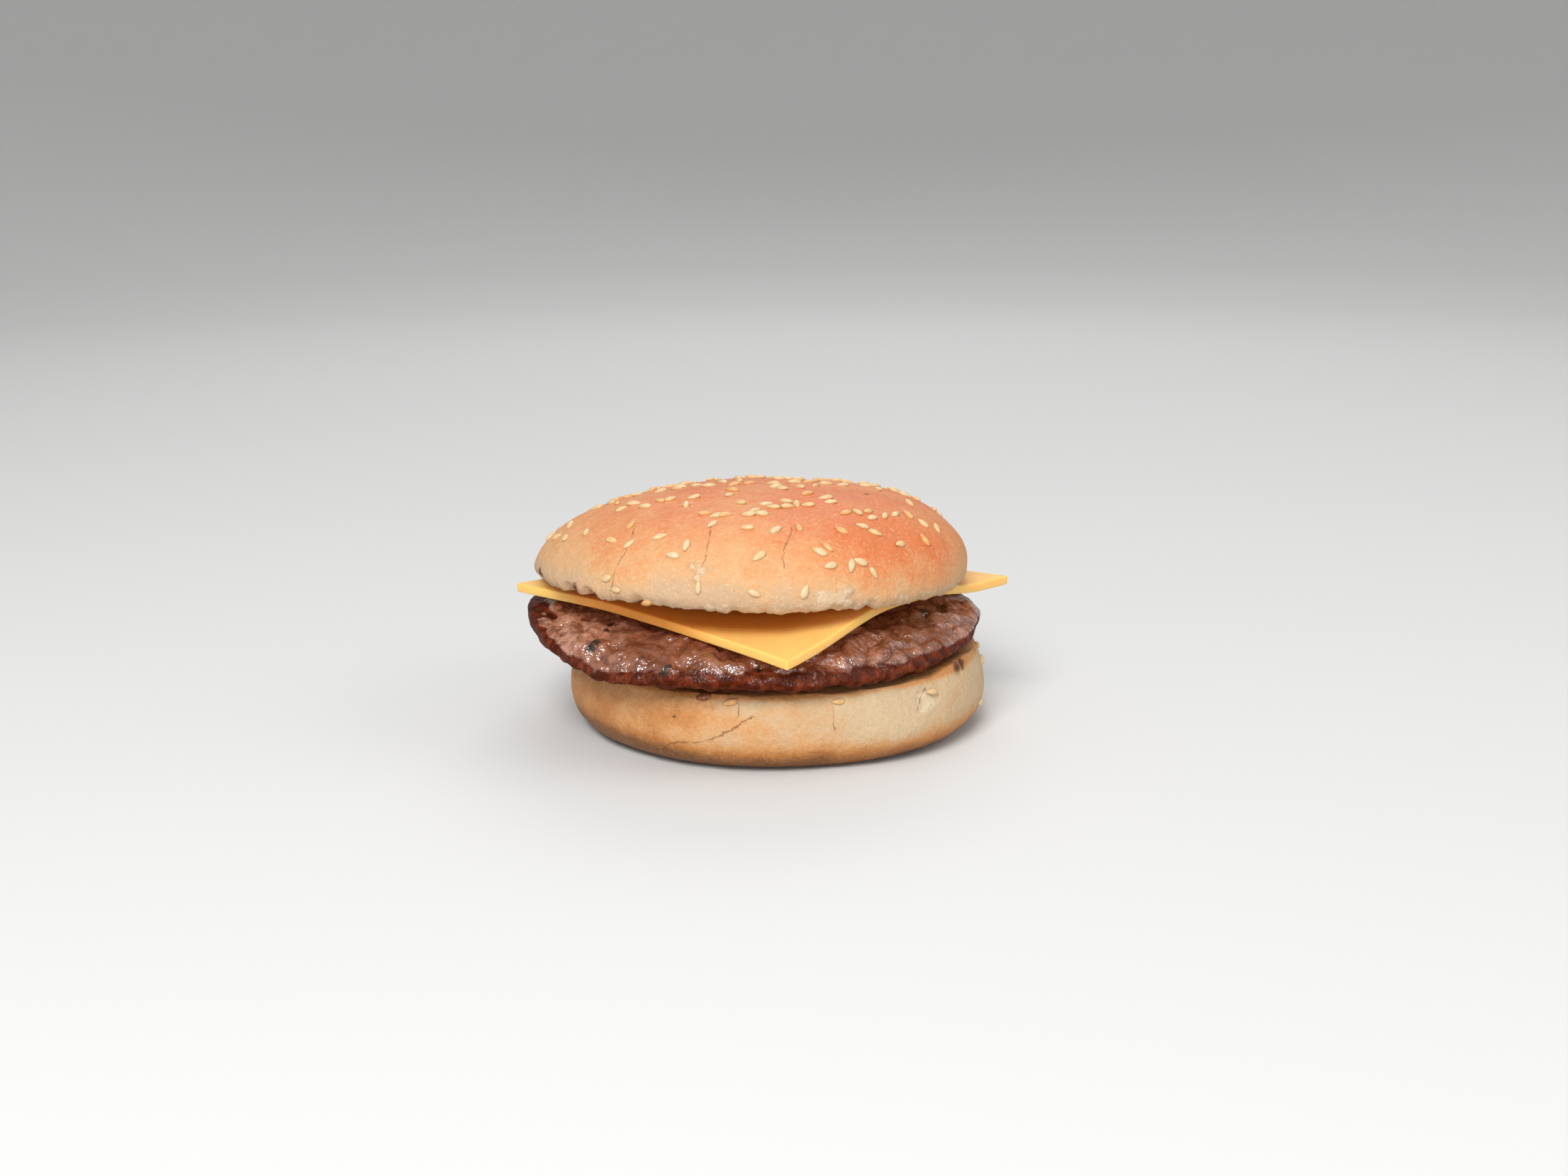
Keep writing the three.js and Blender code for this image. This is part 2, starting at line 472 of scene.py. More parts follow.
CROWN_CRUST = BakedFinish(
    "crown_crust",
    (
        (0.0, (0.53, 0.355, 0.21)),
        (0.3, (0.63, 0.354, 0.162)),
        (0.62, (0.655, 0.272, 0.105)),
        (1.0, (0.61, 0.168, 0.050)),
    ),
    crack=(0.36, 0.14, 0.05),
)
HEEL_CRUST = BakedFinish(
    "heel_crust",
    (
        (0.0, (0.56, 0.41, 0.245)),
        (0.3, (0.61, 0.305, 0.118)),
        (0.62, (0.49, 0.19, 0.046)),
        # The brownest stop, reached at the underside, is partly toast and partly painted shade.
        (1.0, (0.22, 0.080, 0.014)),
    ),
    crack=(0.36, 0.165, 0.062),
    crumb=(0.76, 0.62, 0.44),
    blotch=0.6,
    speckle=0.55,
    crack_width=0.08,
)


@dataclass(frozen=True)
class MeatFinish:
    """Seared minced beef, wet with its juice.

    Attributes:
        grey_and_highlight: The palest part of its upper face, partly the meat's own grey and partly a painted
            highlight.
        pale: The greyish brown of its faces.
        brown: The brown between its lumps.
        red: The caramelised rim.
        bright: The rim's brighter flecks.
        char: Burnt spots.
    """

    grey_and_highlight: Colour = (0.56, 0.255, 0.160)
    pale: Colour = (0.34, 0.125, 0.066)
    brown: Colour = (0.155, 0.042, 0.016)
    red: Colour = (0.060, 0.008, 0.002)
    bright: Colour = (0.21, 0.036, 0.010)
    char: Colour = (0.016, 0.009, 0.006)

    def material(self) -> Material:
        """Make the material.

        Returns:
            The material, which reads the marks of sear, paleness, char and dryness.
        """
        s = Sketch("seared_beef")
        colour = s.mix(s.grade(s.noise(4.2, 4.0, 0.62), 0.36, 0.64), self.brown, self.pale)
        colour = s.mix(s.grade(s.noise(11.0, 3.0, 0.6), 0.46, 0.66, 0.0, 0.65), colour, self.brown)
        colour = s.mix(s.grade(s.noise(1.1, 4.0, 0.7), 0.44, 0.66, 0.0, 0.7), colour, self.brown)
        # Paler grey, partly the meat's own and partly a painted highlight; less of it in the creases is
        # painted shade.
        patchy_pale_and_highlight = s.times(s.mark(Mark.PALE_AND_HIGHLIT), s.grade(s.noise(2.6, 3.0, 0.65), 0.38, 0.60))
        colour = s.mix(patchy_pale_and_highlight, colour, self.grey_and_highlight)
        spread = s.spread(s.noise(3.0, 4.0, 0.68), 1.3)
        seared = s.grade(s.plus(s.mark(Mark.SEAR), spread), 0.25, 0.75)
        glaze = s.mix(s.grade(s.noise(2.4, 4.0, 0.65), 0.42, 0.74), self.red, self.bright)
        flecks = s.grade(s.noise(2.2, 2.0, 0.5), 0.62, 0.76, 0.0, 0.4)
        colour = s.mix(flecks, s.mix(seared, colour, glaze), self.bright)
        charred = s.plus(s.mark(Mark.CHAR), s.spread(s.noise(1.2, 4.0, 0.75), 1.7))
        pepper = s.grade(s.noise(1.3, 2.0, 0.6), 0.73, 0.78)
        burnt = s.work("MAXIMUM", s.grade(charred, 0.46, 0.86), pepper)
        lumps = s.relief(s.noise(1.9, 4.0, 0.6), 1.2)
        grains = s.relief(s.noise(0.6, 3.0, 0.6), 0.14, lumps)
        juice = s.relief(s.noise(3.0, 3.5, 0.55), 1.7)
        puddles = s.grade(s.noise(7.0, 3.0, 0.6), 0.30, 0.50)
        upward = s.grade(s.mark(Mark.DRY), 0.0, 1.0, 1.0, 0.05)
        wet = s.times(s.times(puddles, upward), s.grade(seared, 0.4, 1.0, 1.0, 0.13))
        s.set(Base_Color=s.mix(burnt, colour, self.char), Normal=grains)
        s.set(Roughness=s.grade(wet, 0.0, 1.0, 0.55, 0.38))
        s.set(Specular_IOR_Level=0.10, Specular_Tint=(1.0, 0.50, 0.30))
        s.set(Coat_Weight=wet, Coat_Roughness=0.12, Coat_IOR=2.1, Coat_Normal=juice)
        s.set(Subsurface_Weight=0.04, Subsurface_Radius=(1.0, 0.3, 0.15), Subsurface_Scale=1.2 * MM)
        return s.material


@dataclass(frozen=True)
class CheeseFinish:
    """Smooth, slightly translucent cheese.

    Attributes:
        body: Its colour.
        deep: The colour of its faint clouds.
        painted_shade_orange: Its deeper orange where the bun covers it, a painted shade standing in for the
            shade and orange bounced light under the bun.
    """

    body: Colour = (0.985, 0.53, 0.155)
    deep: Colour = (0.98, 0.50, 0.135)
    # Painted shade: the orange of the cheese in the bun's shade.
    painted_shade_orange: Colour = (1.0, 0.34, 0.055)

    def material(self) -> Material:
        """Make the material.

        Returns:
            The material, which reads the mark of painted shade under the bun.
        """
        s = Sketch("yellow_cheese")
        clouded = s.mix(s.grade(s.noise(6.0, 3.0, 0.6), 0.3, 0.7), self.body, self.deep)
        pits = s.grade(s.noise(0.5, 2.0, 0.6), 0.62, 0.8)
        wave = s.relief(s.noise(5.0, 2.0, 0.5), 0.12)
        pitted = s.relief(s.work("SUBTRACT", 1.0, pits), 0.05, wave)
        # Deeper orange painted under the bun, standing in for the shade and orange bounced light there.
        s.set(Base_Color=s.mix(s.mark(Mark.UNDER_BUN_SHADE), clouded, self.painted_shade_orange), Normal=pitted)
        s.set(Roughness=s.grade(s.noise(2.0, 2.0), 0.3, 0.7, 0.38, 0.5), Specular_IOR_Level=0.3)
        s.set(Subsurface_Weight=0.8, Subsurface_Radius=(1.0, 0.32, 0.08), Subsurface_Scale=3.0 * MM)
        return s.material


@dataclass(frozen=True)
class SeedFinish:
    """Sesame seed, from cream to toasted.

    Attributes:
        stops: Its colours, from raw to toasted.
    """

    stops: Stops = (
        (0.0, (0.66, 0.50, 0.29)),
        (0.45, (0.66, 0.42, 0.185)),
        (0.8, (0.66, 0.29, 0.09)),
        (1.0, (0.20, 0.055, 0.02)),
    )

    def material(self) -> Material:
        """Make the material.

        Returns:
            The material, which reads the mark of toast.
        """
        s = Sketch("sesame")
        tone = s.plus(s.mark(Mark.TOAST), s.grade(s.noise(1.2, 2.0, 0.6), 0.3, 0.7, -0.14, 0.14))
        s.set(Base_Color=s.ramp(tone, self.stops), Normal=s.relief(s.noise(0.5, 2.0, 0.5), 0.05))
        s.set(Roughness=s.grade(s.noise(0.8, 1.0), 0.3, 0.7, 0.26, 0.40), Subsurface_Weight=0.15)
        s.set(Subsurface_Radius=(1.0, 0.6, 0.3), Subsurface_Scale=0.8 * MM)
        return s.material


@dataclass(frozen=True)
class FloorFinish:
    """A plain pale studio floor.

    Attributes:
        colour: Its colour.
    """

    colour: Colour = (0.66, 0.66, 0.655)

    def material(self) -> Material:
        """Make the material.

        Returns:
            The material.
        """
        s = Sketch("pale_floor")
        s.set(Base_Color=self.colour, Roughness=0.85, Specular_IOR_Level=0.2)
        return s.material


def arc(centre: Pair, size: Pair, start: float, end: float, count: int) -> list[Pair]:
    """Draw part of an upright ellipse, without its last point.

    Args:
        centre: The ellipse's middle.
        size: Its half width and half height.
        start: The turn in radians that it starts at.
        end: The turn that it ends at.
        count: How many points it has.

    Returns:
        The points.
    """
    turns = [start + (end - start) * step / count for step in range(count)]
    return [(centre[0] + size[0] * math.cos(turn), centre[1] + size[1] * math.sin(turn)) for turn in turns]


def turned(outline: Sequence[Pair], steps: int, slices: int = TURN_SLICES) -> BMesh:
    """Turn an outline round +Z, one slice first and then its copies.

    Args:
        outline: The radius and height of its points.
        steps: How many times it repeats round the turn, a multiple of the slices.
        slices: How many slices the turn has.

    Returns:
        The mesh.
    """
    bm = bmesh.new()
    verts = [bm.verts.new((radius, 0.0, height)) for radius, height in outline]
    for pair in zip(verts, verts[1:]):
        bm.edges.new(pair)
    part = math.tau / slices
    line = verts + bm.edges[:]
    bmesh.ops.spin(bm, geom=line, angle=part, steps=steps // slices, axis=UP, cent=ORIGIN)
    whole = bm.verts[:] + bm.edges[:] + bm.faces[:]
    for turn in range(1, slices):
        copy = bmesh.ops.duplicate(bm, geom=whole)["geom"]
        copied = [item for item in copy if isinstance(item, BMVert)]
        bmesh.ops.rotate(bm, cent=ORIGIN, matrix=Matrix.Rotation(part * turn, 3, "Z"), verts=copied)
    bmesh.ops.remove_doubles(bm, verts=bm.verts[:], dist=MERGE_DISTANCE)
    bmesh.ops.recalc_face_normals(bm, faces=bm.faces[:])
    return bm


def sculpt(bm: BMesh, push: Callable[[Vector], float]) -> None:
    """Push each point of a mesh along its normal.

    Args:
        bm: The mesh.
        push: How far a point moves.
    """
    bm.normal_update()
    moves = [(vert, vert.normal * push(vert.co)) for vert in bm.verts]
    for vert, move in moves:
        vert.co += move
    bm.normal_update()


def paint(bm: BMesh, mark: Mark, value: Callable[[BMVert], float]) -> None:
    """Give each point of a mesh a number for its finish to read.

    Args:
        bm: The mesh.
        mark: What the number is.
        value: The number at a vertex.
    """
    layer = bm.verts.layers.float.new(mark.value)
    for vert in bm.verts:
        vert[layer] = value(vert)


def smooth_object(bm: BMesh, name: str, material: Material) -> Object:
    """Add a mesh to the scene as a smooth object.

    Args:
        bm: The mesh in metres, which is freed.
        name: The object's name.
        material: Its finish.

    Returns:
        The object.
    """
    for face in bm.faces:
        face.smooth = True
    mesh = bpy.data.meshes.new(name)
    bm.to_mesh(mesh)
    bm.free()
    mesh.materials.append(material)
    return add_object(name, mesh)


def put_in_place(
    bm: BMesh, name: str, material: Material, node: Optional[str] = None
) -> Object:
    """Make a finished mesh a piece of the burger.

    Args:
        bm: The mesh in millimetres, which is freed.
        name: The piece's name.
        material: Its finish.
        node: The solid that it stands for, if any.

    Returns:
        The piece.
    """
    bmesh.ops.scale(bm, vec=(MM, MM, MM), verts=bm.verts[:])
    piece = smooth_object(bm, name, material)
    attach(piece, BODY)
    if node is not None:
        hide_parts(node)
    return piece


def seen_at(surface: BVHTree, across: float, down: float) -> Optional[Hit]:
    """Find the point of a surface that a pixel of the photograph shows, or the one nearest by.

    Args:
        surface: The surface.
        across: The pixel's column.
        down: The pixel's row.

    Returns:
        The point and the surface's normal there, or None where the surface is far off.
    """
    for far in range(SEARCH_PIXELS):
        for way in range(SEARCH_WAYS if far else 1):
            lean = math.tau * way / SEARCH_WAYS
            ray = VIEW.ray(across + far * math.cos(lean), down + far * math.sin(lean))
            at, normal, _, _ = surface.ray_cast(*ray)
            if at is not None:
                return at, normal
    return None


@dataclass(frozen=True)
class Crack:
    """A crack in a crust.

    Attributes:
        pixels: The pixels that it passes through.
        fade: How far its ends fade.
        reach: How far from its line its mark is kept.
    """

    pixels: tuple[Pair, ...]
    fade: float = 1.2
    reach: float = 3.0

    def line(self, surface: BVHTree) -> list[Hit]:
        """Lay the crack on a crust, as points with the crust's normals."""
        hits = (seen_at(surface, *pixel) for pixel in self.pixels)
        return [hit for hit in hits if hit is not None]


def mark_cracks(bm: BMesh, surface: BVHTree, cracks: Sequence[Crack]) -> None:
    """Mark how far each point lies beside its nearest crack, and how much of the crack is there.

    Args:
        bm: The crust.
        surface: The same crust, to find pixels on.
        cracks: Its cracks.
    """
    aside = bm.verts.layers.float.new(Mark.CRACK.value)
    reach = bm.verts.layers.float.new(Mark.CRACK_REACH.value)
    lines = [(crack, crack.line(surface)) for crack in cracks]
    for vert in bm.verts:
        nearest = math.inf
        for crack, line in lines:
            for (start, normal), (end, _) in zip(line, line[1:]):
                along = end - start
                share = (vert.co - start).dot(along) / along.length_squared
                foot = start + along * min(1.0, max(0.0, share))
                distance = (vert.co - foot).length
                if distance >= min(nearest, crack.reach):
                    continue
                nearest = distance
                vert[aside] = math.copysign(distance, normal.cross(along).dot(vert.co - foot))
                past = 0.0
                if start is line[0][0] and share < 0.0:
                    past = -share * along.length
                if end is line[-1][0] and share > 1.0:
                    past = (share - 1.0) * along.length
                beside = smooth_step(crack.reach, crack.reach / 2.0, distance)
                vert[reach] = smooth_step(crack.fade, 0.0, past) * beside


@dataclass(frozen=True)
class Patch:
    """A spot on a surface.

    Attributes:
        across: The column of the pixel that shows its middle.
        down: That pixel's row.
        radius: How far it spreads.
    """

    across: float
    down: float
    radius: float


def patch_share(patches: Sequence[Patch], surface: BVHTree) -> Callable[[Vector], float]:
    """Work out how far inside the nearest patch a point lies.

    Args:
        patches: The patches.
        surface: The surface that they are on.

    Returns:
        A function of a point that gives 1 in a patch's middle, 0.5 at its edge and 0 far away.
    """
    hits = [(seen_at(surface, patch.across, patch.down), patch.radius) for patch in patches]
    spots = [(hit[0], radius) for hit, radius in hits if hit is not None]

    def share(point: Vector) -> float:
        """Return the share at a point."""
        near = (1.0 - 0.5 * (point - at).length / radius for at, radius in spots)
        return max(0.0, max(near, default=0.0))

    return share


class BunHalf:
    """What the bun's two halves share: their crust's cracks, flakes and burnt spots.

    Attributes:
        cracks: Its cracks.
        flakes: Where its crust is torn off.
        scorches: Where it is burnt.
        toasts: Where it is browner.
        toast_share: How much browner.
        flake_height: How far a flake stands up.
        flake_edge: The shares of a patch at a flake's outer and inner edge.
        surface: The crust, once it is made.
    """

    cracks: tuple[Crack, ...]
    flakes: tuple[Patch, ...]
    scorches: tuple[Patch, ...]
    toasts: tuple[Patch, ...] = ()
    toast_share: float = 0.34
    flake_height: float
    flake_edge: Pair
    surface: BVHTree

    def browning(self, vert: BMVert) -> float:
        """Return how brown the crust is, from 0 to 1."""
        raise NotImplementedError

    def torn(self, vert: BMVert) -> float:
        """Return how much of the crust is torn off along the cut, which is none of it here."""
        return 0.0

    def dress(self, bm: BMesh) -> None:
        """Flake the crust and give it the marks that its finish reads.

        Args:
            bm: The crust.
        """
        self.surface = BVHTree.FromBMesh(bm)
        mark_cracks(bm, self.surface, self.cracks)
        flaked = patch_share(self.flakes, self.surface)
        scorched = patch_share(self.scorches, self.surface)
        toasted = patch_share(self.toasts, self.surface)
        outer, inner = self.flake_edge
        sculpt(bm, lambda at: self.flake_height * smooth_step(outer, inner, flaked(at) + FLAKE_EDGE.at(at)))
        paint(bm, Mark.BROWNING, lambda vert: self.browning(vert) + self.toast_share * toasted(vert.co))
        paint(bm, Mark.CRUMB, lambda vert: max(flaked(vert.co), self.torn(vert)))
        paint(bm, Mark.SCORCH, lambda vert: scorched(vert.co))


@dataclass
class BunHeel(BunHalf):
    """The bun's lower half.

    Attributes:
        radius: At its widest.
        foot: The radius of its flat underside.
        height: From its underside to the cut.
        belly: The height where it is widest.
        tuck: How far its wall would turn in on its way to the cut.
        wall_turn: How far it does turn, in radians.
        unevenness: Of its outline.
        bulge: Where its lower wall is fuller.
        torn_lip: Where the cut's edge is torn up.
        lip_lumps: Of the cut's edge.
        lumps: Of the dough.
        sides: Where it is browner from bottom to top.
        blush: Where it is browner half-way up.
        blush_height: The height of that blush.
        blush_spread: How far it reaches up and down.
        lower_toast_and_shade: Where its lower wall is browner, partly toast and partly painted shade.
        clouds: Of its browning.
        cover: Where the patty's middle is.
        cover_radius: The patty's reach.
        steps: How often its outline repeats in the turn.
        cuts: How many points its underside, lower wall, upper wall and cut have.
    """

    radius: float = 47.4
    foot: float = 39.0
    height: float = 17.2
    belly: float = 9.0
    tuck: float = 4.5
    wall_turn: float = math.pi / 3.0
    unevenness: float = 0.8
    bulge: Swelling = Swelling(-42.0, 38.0, 1.1)
    torn_lip: Swelling = Swelling(-27.0, 13.0, 1.2)
    lip_lumps: Lumps = Lumps(9.0, 0.7, 3.1)
    lumps: tuple[Lumps, ...] = (Lumps(14.0, 0.5, 1.0), Lumps(5.0, 0.2, 2.0), Lumps(1.6, 0.07, 5.0))
    sides: tuple[Swelling, ...] = (Swelling(203.0, 44.0, 0.50), Swelling(75.0, 50.0, 0.30))
    blush: Swelling = Swelling(247.0, 20.0, 0.34)
    blush_height: float = 12.0
    blush_spread: float = 3.6
    lower_toast_and_shade: Swelling = Swelling(222.0, 50.0, 0.22)
    clouds: tuple[Lumps, ...] = (Lumps(14.0, 0.15, 8.0), Lumps(6.0, 0.12, 9.0))
    cover: Pair = (-5.3, 0.0)
    cover_radius: float = 52.0
    steps: int = 420
    cuts: tuple[int, int, int, int] = (14, 46, 40, 30)
    cracks: tuple[Crack, ...] = (
        Crack((
            (936, 1056), (944, 1049), (962, 1047), (984, 1047), (1005, 1043), (1016, 1037), (1036, 1028),
            (1048, 1018), (1062, 1012),
        )),
        Crack(((1176, 1000), (1175, 1010), (1177, 1020), (1177, 1028)), 0.8),
        Crack(((1040, 984), (1042, 996), (1041, 1010)), 0.8),
        Crack(((1306, 971), (1302, 980), (1299, 990), (1295, 1000)), 0.8),
    )
    flakes: tuple[Patch, ...] = (Patch(1308, 986, 2.6), Patch(1302, 993, 1.8), Patch(1316, 981, 1.6))
    scorches: tuple[Patch, ...] = (Patch(1350, 941, 1.5), Patch(1356, 936, 1.4), Patch(951, 1011, 0.5))
    flake_height: float = -0.4
    flake_edge: Pair = (0.45, 0.65)

    def outline(self) -> list[Pair]:
        """Draw half a section.

        Returns:
            The section's points from the underside's middle to the cut's middle.
        """
        under, lower, upper, cut = self.cuts
        rise = (self.height - self.belly) / math.sin(self.wall_turn)
        edge = self.radius - self.tuck * (1.0 - math.cos(self.wall_turn))
        points = [(self.foot * step / under, 0.0) for step in range(under)]
        points += arc((self.foot, self.belly), (self.radius - self.foot, self.belly), -QUARTER, 0.0, lower)
        points += arc((self.radius - self.tuck, self.belly), (self.tuck, rise), 0.0, self.wall_turn, upper)
        return points + [(edge * (1.0 - step / cut), self.height) for step in range(cut + 1)]

    def place(self, point: Vector) -> Vector:
        """Make a turned point uneven.

        Args:
            point: A point of the turned section.

        Returns:
            Where it goes.
        """
        radius, bearing = polar(point)
        outward = radius / self.radius
        radius += self.unevenness * outward**4 * ripple(bearing, 0.7)
        radius += self.bulge.at(bearing) * outward**6 * smooth_step(12.0, 3.0, point.z)
        lip = smooth_step(self.height - 2.5, self.height, point.z) * smooth_step(0.86, 0.93, outward)
        torn_up = self.torn_lip.at(bearing)
        rough = 0.35 * ripple(bearing, 4.4, 5, 40) + self.lip_lumps.at(point) + torn_up
        moved = Vector((radius * math.cos(bearing), radius * math.sin(bearing), point.z + lip * rough))
        if polar(moved, self.cover)[0] < self.cover_radius:
            moved.z = min(moved.z, self.height + torn_up)
        return moved

    def push(self, point: Vector) -> float:
        """Work out how far the dough's lumps move a point.

        Args:
            point: A point of the heel.

        Returns:
            The move outwards, which is none on the flat underside.
        """
        lifted = smooth_step(0.0, 3.0, point.z)
        lifted *= smooth_step(self.height + 0.3, self.height - 1.5, point.z)
        return lifted * total(self.lumps, point) if lifted else 0.0

    def browning(self, vert: BMVert) -> float:
        """Work out how brown the crust is, with painted shade towards the underside.

        Args:
            vert: A vertex of the heel.

        Returns:
            0 where it is palest, 1 where it is brownest; towards the underside this is partly painted shade.
        """
        point = vert.co
        bearing = polar(point)[1]
        half_way = math.exp(-(((point.z - self.blush_height) / self.blush_spread) ** 2))
        # Browner towards the bottom: partly the bun's toasted underside and partly painted shade.
        lower = (0.26 + self.lower_toast_and_shade.at(bearing)) * smooth_step(10.0, 3.0, point.z)
        bottom = 0.66 * smooth_step(7.5, 0.5, point.z)
        edge = 0.45 * smooth_step(self.height - 1.6, self.height - 0.3, point.z)
        round_about = total(self.sides, bearing) + self.blush.at(bearing) * half_way
        return round_about + lower + bottom + edge + total(self.clouds, point) - 0.03

    def build(self) -> Object:
        """Make the heel.

        Returns:
            The piece.
        """
        bm = turned(self.outline(), self.steps)
        for vert in bm.verts:
            vert.co = self.place(vert.co)
        sculpt(bm, self.push)
        self.dress(bm)
        return put_in_place(bm, "toasted_heel", HEEL_CRUST.material(), "bun_heel")


@dataclass(frozen=True)
class Bend:
    """How a corner of the cheese bends down.

    Attributes:
        start: How far from the slice's middle it starts.
        droop: How far the corner comes down.
        power: How suddenly.
    """

    start: float
    droop: float
    power: float

    def at(self, distance: float, corner: float) -> float:
        """Return how far the slice has come down at this distance from its middle."""
        return self.droop * (max(0.0, distance - self.start) / (corner - self.start)) ** self.power


@dataclass(frozen=True)
class Hump:
    """A place where the cheese lifts off the patty.

    Attributes:
        aside: How far right of the slice's middle it is.
        forward: How far before the middle.
        width: How far it spreads.
        height: In its middle.
    """

    aside: float
    forward: float
    width: float
    height: float

    def at(self, point: Vector) -> float:
        """Return how far it lifts a point of the flat slice."""
        off = math.hypot(point.x - self.aside, point.y + self.forward) / self.width
        return self.height * math.exp(-off * off)


@dataclass
class CheeseSlice:
    """A square slice of cheese with a corner at the viewer.

    Attributes:
        side: Of the square.
        thickness: Of the slice.
        centre: Where its middle is.
        turn: How far it is turned, in degrees.
        edge: The radius of its edges.
        cuts: How many squares it is divided into each way.
        front: The bend of its front corner.
        right: The bend of its right corner.
        back: The bend of its back corner.
        humps: Where it lifts off the patty.
        waves: Of its faces.
        cover: Where the middle of the bun on it is.
        cover_radius: The bun's reach.
        margin: How far beyond its edge its height still counts.
    """

    side: float = 79.6
    thickness: float = 2.0
    centre: Place = (-2.6, 0.0, 31.6)
    turn: float = 4.5
    edge: float = 0.32
    cuts: int = 110
    front: Bend = Bend(18.0, 4.4, 1.35)
    right: Bend = Bend(-56.29, 1.7, 1.0)
    back: Bend = Bend(0.0, 4.0, 1.2)
    humps: tuple[Hump, ...] = (Hump(22.0, 34.0, 17.0, 3.1), Hump(37.0, 20.0, 13.0, 1.4))
    waves: Lumps = Lumps(9.0, 0.10, 2.0)
    cover: Pair = (-5.9, 0.0)
    cover_radius: float = 46.0
    margin: float = 1.0

    def corner(self) -> float:
        """Return how far the corners are from the middle."""
        return self.side / math.sqrt(2.0)

    def bend(self, point: Vector) -> Vector:
        """Bend a point of the flat slice, whose corners lie on its axes.

        Args:
            point: A point of the flat slice.

        Returns:
            Where it goes.
        """
        bends = ((self.front, -point.y), (self.back, point.y), (self.right, point.x))
        down = sum(bend.at(distance, self.corner()) for bend, distance in bends)
        lift = sum(hump.at(point) for hump in self.humps)
        wave = self.waves.at(Vector((point.x, point.y, 0.0)))
        return point + UP * (lift + wave - down)

    def under_bun_shade(self, vert: BMVert) -> float:
        """Return how far under the bun a vertex lies, 0 outside it, as the share of painted shade there."""
        return smooth_step(self.cover_radius, self.cover_radius - 9.0, polar(vert.co, self.cover)[0])

    def height_at(self, point: Vector, face: float) -> float:
        """Find the height of the slice above or below a point.

        Args:
            point: The point.
            face: 1 for the slice's upper face and -1 for its lower one.

        Returns:
            That face's height, or one infinitely far off where the slice doesn't reach.
        """
        off = Vector((point.x - self.centre[0], point.y - self.centre[1], 0.0))
        flat = Matrix.Rotation(-math.radians(self.turn), 3, "Z") @ off
        if abs(flat.x) + abs(flat.y) > self.corner() + self.margin:
            return -math.inf * face
        return self.centre[2] + self.bend(flat).z + face * self.thickness / 2.0

    def build(self) -> Object:
        """Make the slice.

        Returns:
            The piece.
        """
        bm = bmesh.new()
        bmesh.ops.create_grid(bm, x_segments=self.cuts, y_segments=self.cuts, size=self.side / 2.0)
        bmesh.ops.solidify(bm, geom=bm.faces[:], thickness=self.thickness)
        bmesh.ops.recalc_face_normals(bm, faces=bm.faces[:])
        middle = min(vert.co.z for vert in bm.verts) + self.thickness / 2.0
        bmesh.ops.translate(bm, vec=UP * -middle, verts=bm.verts[:])
        sharp = math.radians(60.0)
        rims = [edge for edge in bm.edges if edge.is_manifold and edge.calc_face_angle() > sharp]
        bmesh.ops.bevel(
            bm, geom=rims, offset=self.edge, offset_type="OFFSET", segments=3, profile=0.5, affect="EDGES",
            clamp_overlap=True, material=-1,
        )
        bmesh.ops.rotate(bm, cent=ORIGIN, matrix=Matrix.Rotation(math.pi / 4.0, 3, "Z"), verts=bm.verts[:])
        for vert in bm.verts:
            vert.co = self.bend(vert.co)
        turn = Matrix.Rotation(math.radians(self.turn), 3, "Z")
        bmesh.ops.rotate(bm, cent=ORIGIN, matrix=turn, verts=bm.verts[:])
        bmesh.ops.translate(bm, vec=self.centre, verts=bm.verts[:])
        # Paint the shade under the bun as a deeper orange.
        paint(bm, Mark.UNDER_BUN_SHADE, self.under_bun_shade)
        return put_in_place(bm, "draped_cheese", CheeseFinish().material(), "cheese_slice")


